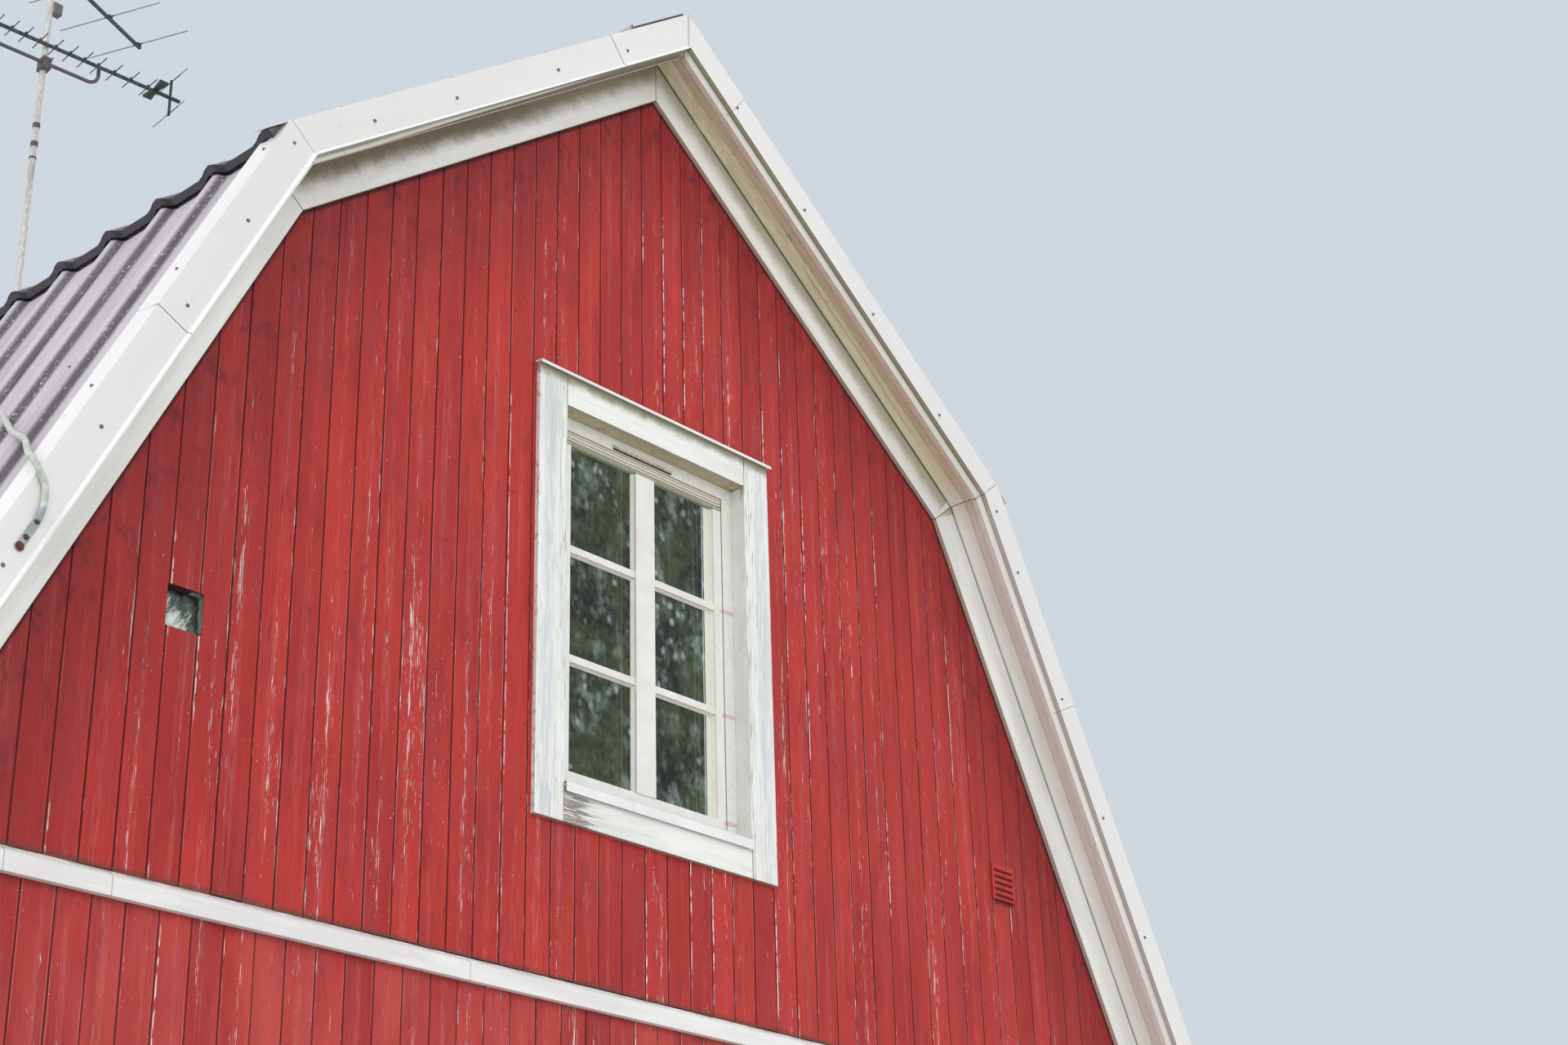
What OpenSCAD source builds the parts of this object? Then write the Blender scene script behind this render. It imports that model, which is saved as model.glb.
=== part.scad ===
// Small wooden house with red upright boarding, a gambrel roof and white trims.
// X runs across the gables, Y along the ridge with the front gable at -Y, Z up.
// The origin lies on the ground at the middle of the footprint. Sizes in millimetres.

/* [House] */
// Width over the boarding of the long walls
house_w = 5900; // [4900:50:7100]
// Length over the boarding of the gables
house_l = 8100; // [6600:50:9750]
// Thickness of the timber walls
wall_t = 160; // [130:5:200]
// Height of the concrete plinth
plinth_h = 300; // [200:10:400]
// Thickness of the concrete plinth
plinth_t = 250; // [200:10:320]
// How far the plinth stands back behind the boarding
plinth_inset = 20; // [10:5:40]
// Thickness of the ground floor
ground_floor_t = 150; // [120:10:220]
// Height of the attic floor's surface
attic_floor_z = 3430; // [3200:10:3560]
// Thickness of the attic floor
attic_floor_t = 280; // [200:10:320]

/* [Roof form] */
// Height of the frieze's lower edge at the ridge
ridge_z = 7450; // [7000:10:8200]
// Height of the frieze's lower edge at the knee
knee_z = 6120; // [5900:10:6500]
// Distance of the knee from the middle of the gable
knee_x = 1740; // [1500:10:2000]
// Height of the frieze's lower edge at the long wall's face
foot_z = 3700; // [3650:10:3800]
// Thickness of the roof boarding and rafter ends
roof_t = 75; // [55:5:90]
// How far the eave reaches out past the long wall
eave_out = 280; // [200:10:360]

/* [Verge] */
// Width of the frieze boards under the roof
frieze_w = 145; // [120:5:175]
// Thickness of the frieze, casing and corner boards
trim_t = 22; // [18:1:28]
// Thickness of the soffit boards
soffit_t = 20; // [16:1:25]
// How far the soffit reaches out to the barge board
verge_out = 163; // [130:1:220]
// Open joint between the two soffit boards
soffit_crack = 2; // [1:0.5:4]
// How far the barge board hangs below the soffit
barge_drop = 35; // [20:5:50]
// Distance of the flashing's face from the barge board
flashing_stand = 27; // [15:1:40]
// How far the flashing's face reaches down past the top of the soffit's underside
flashing_cover = 5; // [-10:1:15]
// Width of the flashing's flange over the roof sheet
flange_w = 95; // [60:1:120]
// Size of the flashing's splayed lower lip
lip = 12; // [8:1:18]
// Thickness of the flashing
flashing_t = 2; // [1.5:0.5:3]
// How much lower the flange lies at the face than on the outermost roll
flange_fall = 9; // [0:1:16]

/* [Roof sheets] */
// Distance from wave to wave
wave_pitch = 300; // [220:10:340]
// Height of a wave
wave_h = 28; // [16:1:34]
// Width of a wave's roll
roll_w = 150; // [90:5:170]
// Distance of the first roll's crest behind the front gable's face
wave_start = 154; // [0:1:300]
// Thickness of the sheet with its coating
sheet_t = 4; // [3:0.5:6]
// How far the upper sheet runs out past the knee
knee_lap = 85; // [60:5:110]
// Depth of the filler strip under the upper sheet's edge
filler_h = 27; // [12:1:30]
// How far the lower sheet runs out past the fascia
sheet_over = 60; // [40:5:90]
// Width of each side of the ridge cap
ridge_cap_w = 150; // [110:10:200]

/* [Windows] */
// Width between the side casings
open_w = 970; // [820:10:1080]
// Height between the top and the bottom casing
open_h = 1490; // [1300:10:1540]
// Width of the side casings
casing_w = 140; // [110:5:150]
// Height of the top casing
casing_top = 131; // [110:1:150]
// Height of the bottom casing
casing_bottom = 144; // [110:1:160]
// Thickness of the lining boards in the opening
lining_t = 20; // [15:1:25]
// Distance of the window's face behind the wall's face
reveal = 53; // [40:1:70]
// Depth of the window frame
frame_d = 70; // [55:1:85]
// Width of the window frame's head and sides
frame_w = 55; // [40:1:70]
// Width of the window frame's bottom piece
frame_sill = 45; // [35:1:60]
// Width of the sash members
sash_w = 42; // [34:1:52]
// Width of the upright bar in the middle
mullion_w = 100; // [60:1:120]
// Width of the thin glazing bars
bar_w = 28; // [20:1:36]
// Thickness of the glazing
glass_t = 24; // [16:1:28]
// Height of the attic window's opening above the ground
attic_sill_z = 4351; // [4150:1:4400]
// Height of the ground floor windows' openings above the ground
ground_sill_z = 1290; // [1100:10:1400]
// Distance of the gable's ground floor windows from the middle
gable_window_x = 1350; // [900:10:1500]

/* [Belt and corners] */
// Height of the belt board's top above the ground
belt_z = 3650; // [3600:5:3690]
// Height of the belt board with its sloping ledge
belt_h = 79; // [60:1:100]
// Thickness of the belt board
belt_t = 28; // [22:1:40]
// Width of the corner boards
corner_w = 120; // [95:5:145]

/* [Vents] */
// Distance of the vents from the middle of the gable
vent_x = 2076; // [1900:1:2120]
// Height of the vents' middle above the ground
vent_z = 4528; // [4400:1:4700]
// Side of the square vent holes
vent_hole = 136; // [110:1:150]
// Depth of the vent holes
vent_depth = 115; // [80:5:150]

/* [Door] */
// Width of the door leaf
door_w = 900; // [760:10:960]
// Height of the door leaf
door_h = 2040; // [1950:10:2100]
// Thickness of the door leaf
door_t = 45; // [35:1:55]
// Width of the boards on the door leaf
door_board = 148; // [90:1:180]
// Depth of the concrete doorstep
step_out = 290; // [240:10:300]

/* [Antenna] */
// Distance of the mast from the ridge line
mast_x = 500; // [350:10:900]
// Distance of the mast behind the front gable's face
mast_y = 4000; // [3000:50:5000]
// Diameter of the mast
mast_d = 33; // [28:1:42]
// Height of the mast's top above the ground
mast_top = 10050; // [9700:10:10300]

/* [Hidden] */
$fn = 24;

barn_red = [0.62, 0.13, 0.13];
trim_white = [0.86, 0.85, 0.82];
sheet_grey = [0.52, 0.48, 0.5];
metal_grey = [0.62, 0.63, 0.64];

seat = 0.3;    // clearance of pieces that lie on each other
joint = 0.8;   // open joint between boards of one run

half_w = house_w / 2;
half_l = house_l / 2;
up_a = atan((ridge_z - knee_z) / knee_x);
low_a = atan((knee_z - foot_z) / (half_w - knee_x));
n_up = [sin(up_a), cos(up_a)];
n_low = [sin(low_a), cos(low_a)];
t_up = [cos(up_a), -sin(up_a)];
t_low = [cos(low_a), -sin(low_a)];
mitre = (n_up + n_low) / (1 + n_up * n_low);
knee = [knee_x, knee_z];

// Offsets square to the roof, counted from the frieze's lower edge
soffit_d = frieze_w;
deck_d = soffit_d + soffit_t;
deck_top = deck_d + roof_t;
sheet_d = deck_top + seat;
crest_d = sheet_d + wave_h + sheet_t;
barge_d = soffit_d - barge_drop;

eave_x = half_w + eave_out;
fascia_x = eave_x + trim_t;
up_len = knee_x / cos(up_a);
turn = low_a - up_a;
bend = tan(turn / 2);
// the upper sheet passes the knee far enough for its filler to clear the lower sheet
filler_t = 15;
filler_clear = (filler_h - sheet_t) * cos(turn) + sheet_t + wave_h * (1 - cos(turn)) + 1.5;
lap = max(knee_lap, filler_t + filler_clear / sin(turn));
upper_sheet_end = up_len + sheet_d * bend + lap;
lower_sheet_start = (sheet_t + 2.8) / tan(turn) - sheet_d * bend;
lower_flange_start = lap * cos(turn) + 10 - sheet_d * bend;
split_z = belt_z - belt_h / 2;
ground_floor_z = plinth_h + ground_floor_t;
long_bay = house_l / 3;
mast_row = mast_y - half_l;

// A place on the right-hand roof slope at offset d. The end e is "ridge", "knee",
// a distance down the slope, or [x] for an upright cut.
function up_at(e, d) = e == "ridge" ? [0, ridge_z + d / cos(up_a)]
    : e == "knee" ? knee + d * mitre
    : [0, ridge_z] + e * t_up + d * n_up;
function low_at(e, d) = e == "knee" ? knee + d * mitre
    : is_list(e) ? [e[0], foot_z + d / cos(low_a) - (e[0] - half_w) * tan(low_a)]
    : knee + e * t_low + d * n_low;
function slope_at(part, e, d) = part == "upper" ? up_at(e, d) : low_at(e, d);
function rect(out0, out1, d0, d1) = [[out0, d0], [out1, d0], [out1, d1], [out0, d1]];

// A board or sheet that runs down one slope, cut off in the planes of its ends.
// Its profile holds [distance out from the gable's face, offset] points.
module run(profile, part, from, to) {
    outs = [for (p = profile) p[0]];
    ds = [for (p = profile) p[1]];
    t = part == "upper" ? t_up : t_low;
    n = part == "upper" ? n_up : n_low;
    origin = part == "upper" ? [0, ridge_z] : knee;
    gap = joint / 2 * t;
    ends = [slope_at(part, from, min(ds) - 1) + gap, slope_at(part, from, max(ds) + 1) + gap,
        slope_at(part, to, max(ds) + 1) - gap, slope_at(part, to, min(ds) - 1) - gap];
    along = [for (q = ends) (q - origin) * t];
    intersection() {
        multmatrix([[0, n[0], t[0], origin[0]], [1, 0, 0, -half_l], [0, n[1], t[1], origin[1]], [0, 0, 0, 1]])
            translate([0, 0, min(along) - 5]) linear_extrude(max(along) - min(along) + 10)
                polygon([for (p = profile) [-p[0], p[1]]]);
        upright(-half_l - max(outs) - 1, -half_l - min(outs) + 1) polygon(ends);
    }
}
// The same board on all four slopes of a gable
module verge(profile, foot) {
    for (side = [0, 1]) mirror([side, 0, 0]) {
        run(profile, "upper", "ridge", "knee");
        run(profile, "lower", "knee", [foot]);
    }
}
module back_side() { mirror([0, 1, 0]) children(); }
module both_sides() { for (side = [0, 1]) mirror([side, 0, 0]) children(); }
// Extrudes an XZ outline from y0 to y1
module upright(y0, y1) { translate([0, y1, 0]) rotate([90, 0, 0]) linear_extrude(y1 - y0) children(); }

// Wall frames: X along the wall seen from outside, -Y outwards, Z up
module on_front() { translate([0, -half_l, 0]) children(); }
module on_back() { rotate(180) on_front() children(); }
module on_left() { rotate(-90) translate([0, -half_w, 0]) children(); }
module on_right() { rotate(90) translate([0, -half_w, 0]) children(); }

front_windows = [[0, attic_sill_z], [-gable_window_x, ground_sill_z], [gable_window_x, ground_sill_z]];
left_windows = [for (i = [-1:1]) [i * long_bay, ground_sill_z]];
right_windows = [for (i = [-1, 1]) [i * long_bay, ground_sill_z]];
module at_windows(windows) { for (w = windows) translate([w[0], 0, w[1]]) children(); }

// Masonry and floors
module plinth() {
    color([0.6, 0.6, 0.58]) difference() {
        plinth_block(plinth_inset, 0, plinth_h);
        plinth_block(plinth_inset + plinth_t, -1, plinth_h + 1);
    }
}
module plinth_block(inset, z0, z1) {
    translate([-half_w + inset, -half_l + inset, z0])
        cube([house_w - 2 * inset, house_l - 2 * inset, z1 - z0]);
}
module floor_slab(z_top, thick) {
    translate([-half_w + wall_t, -half_l + wall_t, z_top - thick])
        cube([house_w - 2 * wall_t, house_l - 2 * wall_t, thick]);
}
module ground_floor() { color([0.7, 0.55, 0.38]) floor_slab(ground_floor_z, ground_floor_t); }
module attic_floor() { color([0.7, 0.55, 0.38]) floor_slab(attic_floor_z, attic_floor_t); }

// Walls
module window_hole() {
    translate([-open_w / 2 - lining_t, -1, -lining_t])
        cube([open_w + 2 * lining_t, wall_t + 2, open_h + 2 * lining_t]);
}
module lower_gable_wall() {
    color(barn_red) difference() {
        translate([-half_w, 0, plinth_h]) cube([house_w, wall_t, split_z - plinth_h]);
        at_windows([for (w = front_windows) if (w[1] == ground_sill_z) w]) window_hole();
    }
}
module gable() {
    right = [[half_w, split_z], low_at([half_w], deck_d), low_at("knee", deck_d)];
    left = [for (i = [2:-1:0]) [-right[i][0], right[i][1]]];
    color(barn_red) difference() {
        upright(0, wall_t) polygon(concat(right, [up_at("ridge", deck_d)], left));
        at_windows([front_windows[0]]) window_hole();
        for (side = [-1, 1]) translate([side * vent_x - vent_hole / 2, -1, vent_z - vent_hole / 2])
            cube([vent_hole, vent_depth + 1, vent_hole]);
    }
}
module front_wall() { on_front() lower_gable_wall(); }
module back_wall() { on_back() lower_gable_wall(); }
module front_gable() { on_front() gable(); }
module back_gable() { on_back() gable(); }
module long_wall() {
    color(barn_red) upright(-half_l + wall_t, half_l - wall_t)
        polygon([[half_w - wall_t, plinth_h], [half_w, plinth_h], low_at([half_w], deck_d),
            low_at([half_w - wall_t], deck_d)]);
}
module left_wall() {
    difference() {
        mirror([1, 0, 0]) long_wall();
        on_left() at_windows(left_windows) window_hole();
    }
}
module right_wall() {
    difference() {
        long_wall();
        on_right() at_windows(right_windows) window_hole();
        on_right() door_hole();
    }
}

// White trims on the walls
module corner_boards() {
    color(trim_white) for (end = [0, 1]) mirror([0, end, 0]) both_sides() {
        upright(-half_l - trim_t, -half_l)
            polygon([[half_w - corner_w, plinth_h], [half_w + trim_t, plinth_h],
                low_at([half_w + trim_t], -seat), low_at([half_w - corner_w], -seat)]);
        upright(-half_l + joint, -half_l + corner_w)
            polygon([[half_w, plinth_h], [half_w + trim_t, plinth_h],
                low_at([half_w + trim_t], soffit_d - seat), low_at([half_w], soffit_d - seat)]);
    }
}
module belt() {
    length = house_w - 2 * corner_w - 2 * joint;
    face = belt_h - 21;
    translate([-length / 2, 0, belt_z - belt_h]) rotate([90, 0, 90]) linear_extrude(length)
        polygon([[0, 0], [0, belt_h], [-6, belt_h], [-belt_t, face], [-belt_t, 0]]);
}
module belt_boards() { color(trim_white) { on_front() belt(); on_back() belt(); } }

// Verge, from the wall outwards
module frieze() { color(trim_white) verge(rect(0, trim_t, 0, frieze_w - seat), half_w + trim_t); }
module soffit() {
    middle = verge_out * 0.6;
    color([0.78, 0.76, 0.68]) {
        verge(rect(0, middle, soffit_d, deck_d), eave_x);
        verge(rect(middle + soffit_crack, verge_out, soffit_d, deck_d), eave_x);
    }
}
module barge_boards() {
    color(trim_white) verge(rect(verge_out, verge_out + trim_t, barge_d, deck_top), fascia_x);
}
// Height of the wave at a distance from a roll's crest: a flat pan and a rounded roll
function wave(u) = abs(u) >= roll_w / 2 ? 0 : wave_h * (0.5 + 0.5 * cos(360 * u / roll_w));
// The same along the straight pieces that a roll is made of
roll_steps = 6;
function rolled(u) = let (step = roll_w / roll_steps, i = floor(abs(u) / step), part = abs(u) / step - i)
    wave(i * step) * (1 - part) + wave((i + 1) * step) * part;
inner_out = verge_out + trim_t + seat;
face_out = inner_out + flashing_stand;
face_top = crest_d - flange_fall;
sheet_edge = verge_out + trim_t - 5;
// The flange leans on the outermost roll. First_crest is that roll's distance out.
function lean(first_crest) = max([for (out = [face_out - flange_w:2:sheet_edge])
    let (u = out - first_crest, near = u - wave_pitch * round(u / wave_pitch))
        (crest_d - wave_h + rolled(near) + seat - face_top) / (face_out - out)]);
front_lean = lean(-wave_start);
back_lean = lean(wave_start - house_l);
flange_top = face_top + max(front_lean, back_lean) * flange_w + flashing_t;
module verge_flashing(slope) {
    function under(x) = face_top + slope * x;
    face = face_out;
    bottom = soffit_d - flashing_cover;
    t = flashing_t;
    foot = [fascia_x + sheet_over];
    edge = 4 * t;
    front = [[face - edge, under(edge) + t], [face - edge, under(edge)], [face - t, under(t)],
        [face - t, bottom], [face + lip - 2 * t, bottom - lip + t], [inner_out, bottom - lip + t],
        [inner_out, bottom - lip], [face + lip, bottom - lip], [face, bottom], [face, under(0) + t]];
    near = edge + seat;
    flange = [[face - flange_w, under(flange_w)], [face - near, under(near)],
        [face - near, under(near) + t], [face - flange_w, under(flange_w) + t]];
    // the upper flange runs out with the upper sheet, and the lower one starts under it
    color([0.88, 0.88, 0.87]) for (side = [0, 1]) mirror([side, 0, 0]) {
        run(front, "upper", "ridge", "knee");
        run(flange, "upper", "ridge", upper_sheet_end + 25);
        run(front, "lower", "knee", foot);
        run(flange, "lower", lower_flange_start, foot);
    }
}
module front_frieze() { frieze(); }
module back_frieze() { back_side() frieze(); }
module front_soffit() { soffit(); }
module back_soffit() { back_side() soffit(); }
module front_barge_boards() { barge_boards(); }
module back_barge_boards() { back_side() barge_boards(); }
module front_verge_flashing() { verge_flashing(front_lean); }
module back_verge_flashing() { back_side() verge_flashing(back_lean); }

// Roof
module roof_slabs() {
    reach = half_l + verge_out;
    color([0.55, 0.42, 0.3]) upright(-reach, reach) {
        polygon([up_at("ridge", deck_d), up_at("ridge", deck_top), up_at("knee", deck_top) - joint / 2 * t_up,
            up_at("knee", deck_d) - joint / 2 * t_up]);
        polygon([low_at("knee", deck_d) + joint / 2 * t_low, low_at("knee", deck_top) + joint / 2 * t_low,
            low_at([eave_x], deck_top), low_at([eave_x], deck_d)]);
    }
}
module roof_right() { roof_slabs(); }
module roof_left() { mirror([1, 0, 0]) roof_slabs(); }

sheet_half = half_l + sheet_edge;
crest_ys = [for (y = [wave_start - half_l - wave_pitch:wave_pitch:sheet_half + roll_w]) y];
sheet_top = concat([[-sheet_half, 0]],
    [for (y = crest_ys, k = [0:roll_steps]) let (u = (k / roll_steps - 0.5) * roll_w)
        if (abs(y + u) < sheet_half - 1) [y + u, wave(u)]],
    [[sheet_half, 0]]);
// Sheet between two places down a slope, as deep below its waved face as is said
module waved(origin, n, t, from, to, below) {
    top = [for (p = sheet_top) [p[0], sheet_d + sheet_t + p[1]]];
    bottom = [for (i = [len(top) - 1:-1:0]) top[i] - [0, below]];
    multmatrix([[0, n[0], t[0], origin[0]], [1, 0, 0, 0], [0, n[1], t[1], origin[1]], [0, 0, 0, 1]])
        translate([0, 0, from]) linear_extrude(to - from) polygon(concat(top, bottom));
}
module roof_sheets() {
    lower_end = (fascia_x + sheet_over - 15 - knee_x - crest_d * n_low[0]) / t_low[0];
    color(sheet_grey) {
        waved([0, ridge_z], n_up, t_up, 15 - sheet_d * tan(up_a), upper_sheet_end, sheet_t);
        waved([0, ridge_z], n_up, t_up, upper_sheet_end - filler_t, upper_sheet_end, filler_h);
        waved(knee, n_low, t_low, lower_sheet_start, lower_end, sheet_t);
    }
}
module roof_sheets_right() { roof_sheets(); }
module roof_sheets_left() {
    difference() {
        mirror([1, 0, 0]) roof_sheets();
        translate([-mast_x, mast_row, ridge_z - 500]) cylinder(d = mast_d + 4, h = 1500);
    }
}
module ridge_cap() {
    base = max(flange_top, crest_d) + seat;
    edge = ridge_cap_w;
    half = [up_at(edge, base), up_at(edge, base + 12), up_at(edge - 3, base + 12), up_at(edge - 3, base + 3)];
    right = [for (p = half) p];
    left = [for (i = [len(half) - 1:-1:0]) [-half[i][0], half[i][1]]];
    color([0.4, 0.38, 0.4]) upright(-sheet_half, sheet_half)
        polygon(concat([up_at("ridge", base)], right, [up_at("ridge", base + 3)], left));
}
module eave_boards() {
    color(trim_white) both_sides() {
        upright(-half_l + joint, half_l - joint)
            polygon([low_at([half_w], soffit_d), low_at([eave_x - seat], soffit_d),
                low_at([eave_x - seat], deck_d - seat), low_at([half_w], deck_d - seat)]);
        upright(-half_l - verge_out + seat, half_l + verge_out - seat)
            polygon([low_at([eave_x], barge_d), low_at([fascia_x], barge_d),
                low_at([fascia_x], deck_top), low_at([eave_x], deck_top)]);
    }
}

// Windows. Local frames start at the middle of the opening's lower edge
module casing() {
    side_h = open_h + casing_bottom + casing_top;
    for (side = [-1, 1]) translate([side * (open_w + casing_w) / 2 - casing_w / 2, -trim_t, -casing_bottom])
        cube([casing_w, trim_t, side_h]);
    for (z = [[-casing_bottom, casing_bottom], [open_h, casing_top]])
        translate([-open_w / 2 + joint, -trim_t, z[0]]) cube([open_w - 2 * joint, trim_t, z[1]]);
}
module frame_outline(edge, sill) {
    translate([-open_w / 2 + edge, sill]) square([open_w - 2 * edge, open_h - edge - sill]);
}
module lining_and_frame() {
    // lining boards as deep as the reveal, then the frame's own members
    upright(0, reveal) difference() {
        frame_outline(-lining_t, -lining_t);
        frame_outline(0, 0);
    }
    upright(reveal, reveal + frame_d) difference() {
        frame_outline(-lining_t, -lining_t);
        frame_outline(frame_w, frame_sill);
    }
}
sash_fit = 0.8;
module sash() {
    glass_w = open_w - 2 * (frame_w + sash_w);
    glass_z = frame_sill + sash_w;
    glass_h = open_h - frame_w - sash_w - glass_z;
    upright(reveal + 6, reveal + frame_d - 6) difference() {
        frame_outline(frame_w + sash_fit, frame_sill + sash_fit);
        frame_outline(frame_w + sash_w, glass_z);
    }
    // the middle bar and the four thin bars stand in front of the glass
    translate([-mullion_w / 2, reveal, glass_z]) cube([mullion_w, 24, glass_h]);
    for (i = [1, 2]) translate([-glass_w / 2, reveal + 8, glass_z + i * glass_h / 3 - bar_w / 2])
        cube([glass_w, 16, bar_w]);
}
module glazing() {
    inset = frame_w + sash_w + seat;
    upright(reveal + 24 + seat, reveal + 24 + seat + glass_t)
        frame_outline(inset, frame_sill + sash_w + seat);
}
module window_flashing() {
    // drip cap over the top casing
    cap_out = trim_t + 16;
    translate([-open_w / 2 - casing_w - 6, 0, open_h + casing_top + seat]) rotate([90, 0, 90])
        linear_extrude(open_w + 2 * casing_w + 18)
            polygon([[0, 0], [0, 26], [-2, 26], [-2, 7], [-cap_out, 2], [-cap_out, -9], [-cap_out + 2, -9],
                [-cap_out + 2, 0]]);
    // sloping sill between the side casings
    sill_out = trim_t + 14;
    translate([-open_w / 2 + seat, 0, 0]) rotate([90, 0, 90]) linear_extrude(open_w - 2 * seat)
        polygon([[reveal - seat, 14], [reveal - seat, 16], [-sill_out, 4], [-sill_out, -34],
            [-sill_out + 2, -34], [-sill_out + 2, 2.4]]);
}
module casings(windows) { color(trim_white) at_windows(windows) casing(); }
module frames(windows) { color([0.9, 0.89, 0.85]) at_windows(windows) { lining_and_frame(); sash(); } }
module glass(windows) { color([0.2, 0.26, 0.22]) at_windows(windows) glazing(); }
module front_window_casings() { on_front() casings(front_windows); }
module front_window_frames() { on_front() frames(front_windows); }
module front_window_glass() { on_front() glass(front_windows); }
module back_window_casings() { on_back() casings(front_windows); }
module back_window_frames() { on_back() frames(front_windows); }
module back_window_glass() { on_back() glass(front_windows); }
module left_window_casings() { on_left() casings(left_windows); }
module left_window_frames() { on_left() frames(left_windows); }
module left_window_glass() { on_left() glass(left_windows); }
module right_window_casings() { on_right() casings(right_windows); }
module right_window_frames() { on_right() frames(right_windows); }
module right_window_glass() { on_right() glass(right_windows); }
module window_flashings() {
    color([0.85, 0.85, 0.84]) {
        on_front() at_windows(front_windows) window_flashing();
        on_back() at_windows(front_windows) window_flashing();
        on_left() at_windows(left_windows) window_flashing();
        on_right() at_windows(right_windows) window_flashing();
    }
}

// Door in the middle of the right-hand wall
door_jamb = 45;
door_gap = 4;
door_hole_w = door_w + 2 * (door_jamb + door_gap);
door_hole_h = door_h + door_jamb + 2 * door_gap;
module door_hole() {
    translate([-door_hole_w / 2, -1, ground_floor_z]) cube([door_hole_w, wall_t + 2, door_hole_h]);
}
module door_leaf() {
    boards = ceil(door_w / door_board);
    pitch = door_w / boards;
    color([0.55, 0.1, 0.1]) on_right() translate([-door_w / 2, 40, ground_floor_z + seat]) difference() {
        cube([door_w, door_t, door_h]);
        // V joints between the upright boards
        for (i = [1:boards - 1]) translate([i * pitch, 0, -1]) rotate(45) translate([-5, -5, 0])
            cube([10, 10, door_h + 2]);
    }
}
module doorway(edge, top, below) { translate([-edge, -below]) square([2 * edge, top + below]); }
module door_frame() {
    hole = door_hole_w / 2;
    clear = door_w / 2 + door_gap;
    color(trim_white) on_right() translate([0, 0, ground_floor_z]) {
        // jambs and head in the opening
        upright(0, wall_t) difference() {
            doorway(hole, door_hole_h, 0);
            doorway(clear, door_h + 2 * door_gap, 1);
        }
        // stop that the leaf shuts on
        upright(40 + door_t + seat, 40 + door_t + 20) difference() {
            doorway(clear, door_h + 2 * door_gap, 0);
            doorway(door_w / 2 - 12, door_h - 10, 1);
        }
        // casing boards round it
        upright(-trim_t, 0) difference() {
            doorway(hole - 20 + casing_w, door_hole_h - 20 + casing_w, 0);
            doorway(hole - 20, door_hole_h - 20, 1);
        }
    }
}
module door_step() {
    color([0.6, 0.6, 0.58]) on_right()
        translate([-650, -step_out + plinth_inset, 0]) cube([1300, step_out, ground_floor_z / 2]);
}

// Louvred vents over the square holes, one of them missing on the front
module louvre() {
    plate = vent_hole + 14;
    blades = 5;
    pitch = vent_hole / blades;
    difference() {
        translate([-plate / 2, -12, -plate / 2]) cube([plate, 12 - seat, plate]);
        for (i = [0:blades - 1]) translate([-vent_hole / 2 + 4, -13, -vent_hole / 2 + (i + 0.5) * pitch])
            rotate([-30, 0, 0]) translate([0, -20, -pitch * 0.3]) cube([vent_hole - 8, 60, pitch * 0.45]);
    }
}
module wall_vents() {
    color([0.62, 0.16, 0.15]) {
        on_front() translate([vent_x, 0, vent_z]) louvre();
        for (side = [-1, 1]) on_back() translate([side * vent_x, 0, vent_z]) louvre();
    }
}

// Bent tube bolted to the left verge and led over the roof sheet. Each point holds
// [distance down the lower slope, distance in from the flashing's face, offset].
rail_d = 21;
rail_over = crest_d + rail_d / 2 + seat;
rail_path = [[1866, 0, rail_over - 100], [1820, 0, rail_over - 90], [1793, 0, rail_over - 79],
    [1767, 0, rail_over - 65], [1745, 0, rail_over - 42], [1732, 0, rail_over - 20],
    [1722, 3, rail_over - 5], [1708, 12, rail_over + 7], [1690, 34, rail_over + 12],
    [1648, 84, rail_over + 14], [1523, 212, rail_over + 13], [1403, 381, rail_over + 9],
    [1270, 538, rail_over + 5], [1222, 593, rail_over + 3], [1160, 666, rail_over]];
// Tube through the points, with a ring of corners square to the path at each
module sweep(points, d, sides = 12) {
    n = len(points);
    function unit(v) = v / norm(v);
    rings = [for (i = [0:n - 1])
        let (along = unit(points[min(i + 1, n - 1)] - points[max(i - 1, 0)]),
            across = unit(cross(along, [1, 0.2, 0])), up = cross(across, along))
        [for (a = [0:360 / sides:359]) points[i] + d / 2 * (cos(a) * across + sin(a) * up)]];
    caps = [[for (k = [sides - 1:-1:0]) k], [for (k = [0:sides - 1]) (n - 1) * sides + k]];
    walls = [for (i = [0:n - 2], k = [0:sides - 1]) let (j = (k + 1) % sides)
        [i * sides + k, i * sides + j, (i + 1) * sides + j, (i + 1) * sides + k]];
    polyhedron([for (ring = rings) each ring], concat(caps, walls));
}
module grab_rail() {
    face = face_out + 0.5;
    points = [for (p = rail_path) let (q = low_at(p[0], p[2]))
        [-q[0], p[1] - half_l - face - rail_d / 2, q[1]]];
    plate = rail_path[0][2];
    color(metal_grey) {
        sweep(points, rail_d);
        mirror([1, 0, 0]) run(rect(face, face + 5, plate - 14, plate + 12), "lower", rail_path[0][0], 1992);
    }
}

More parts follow.
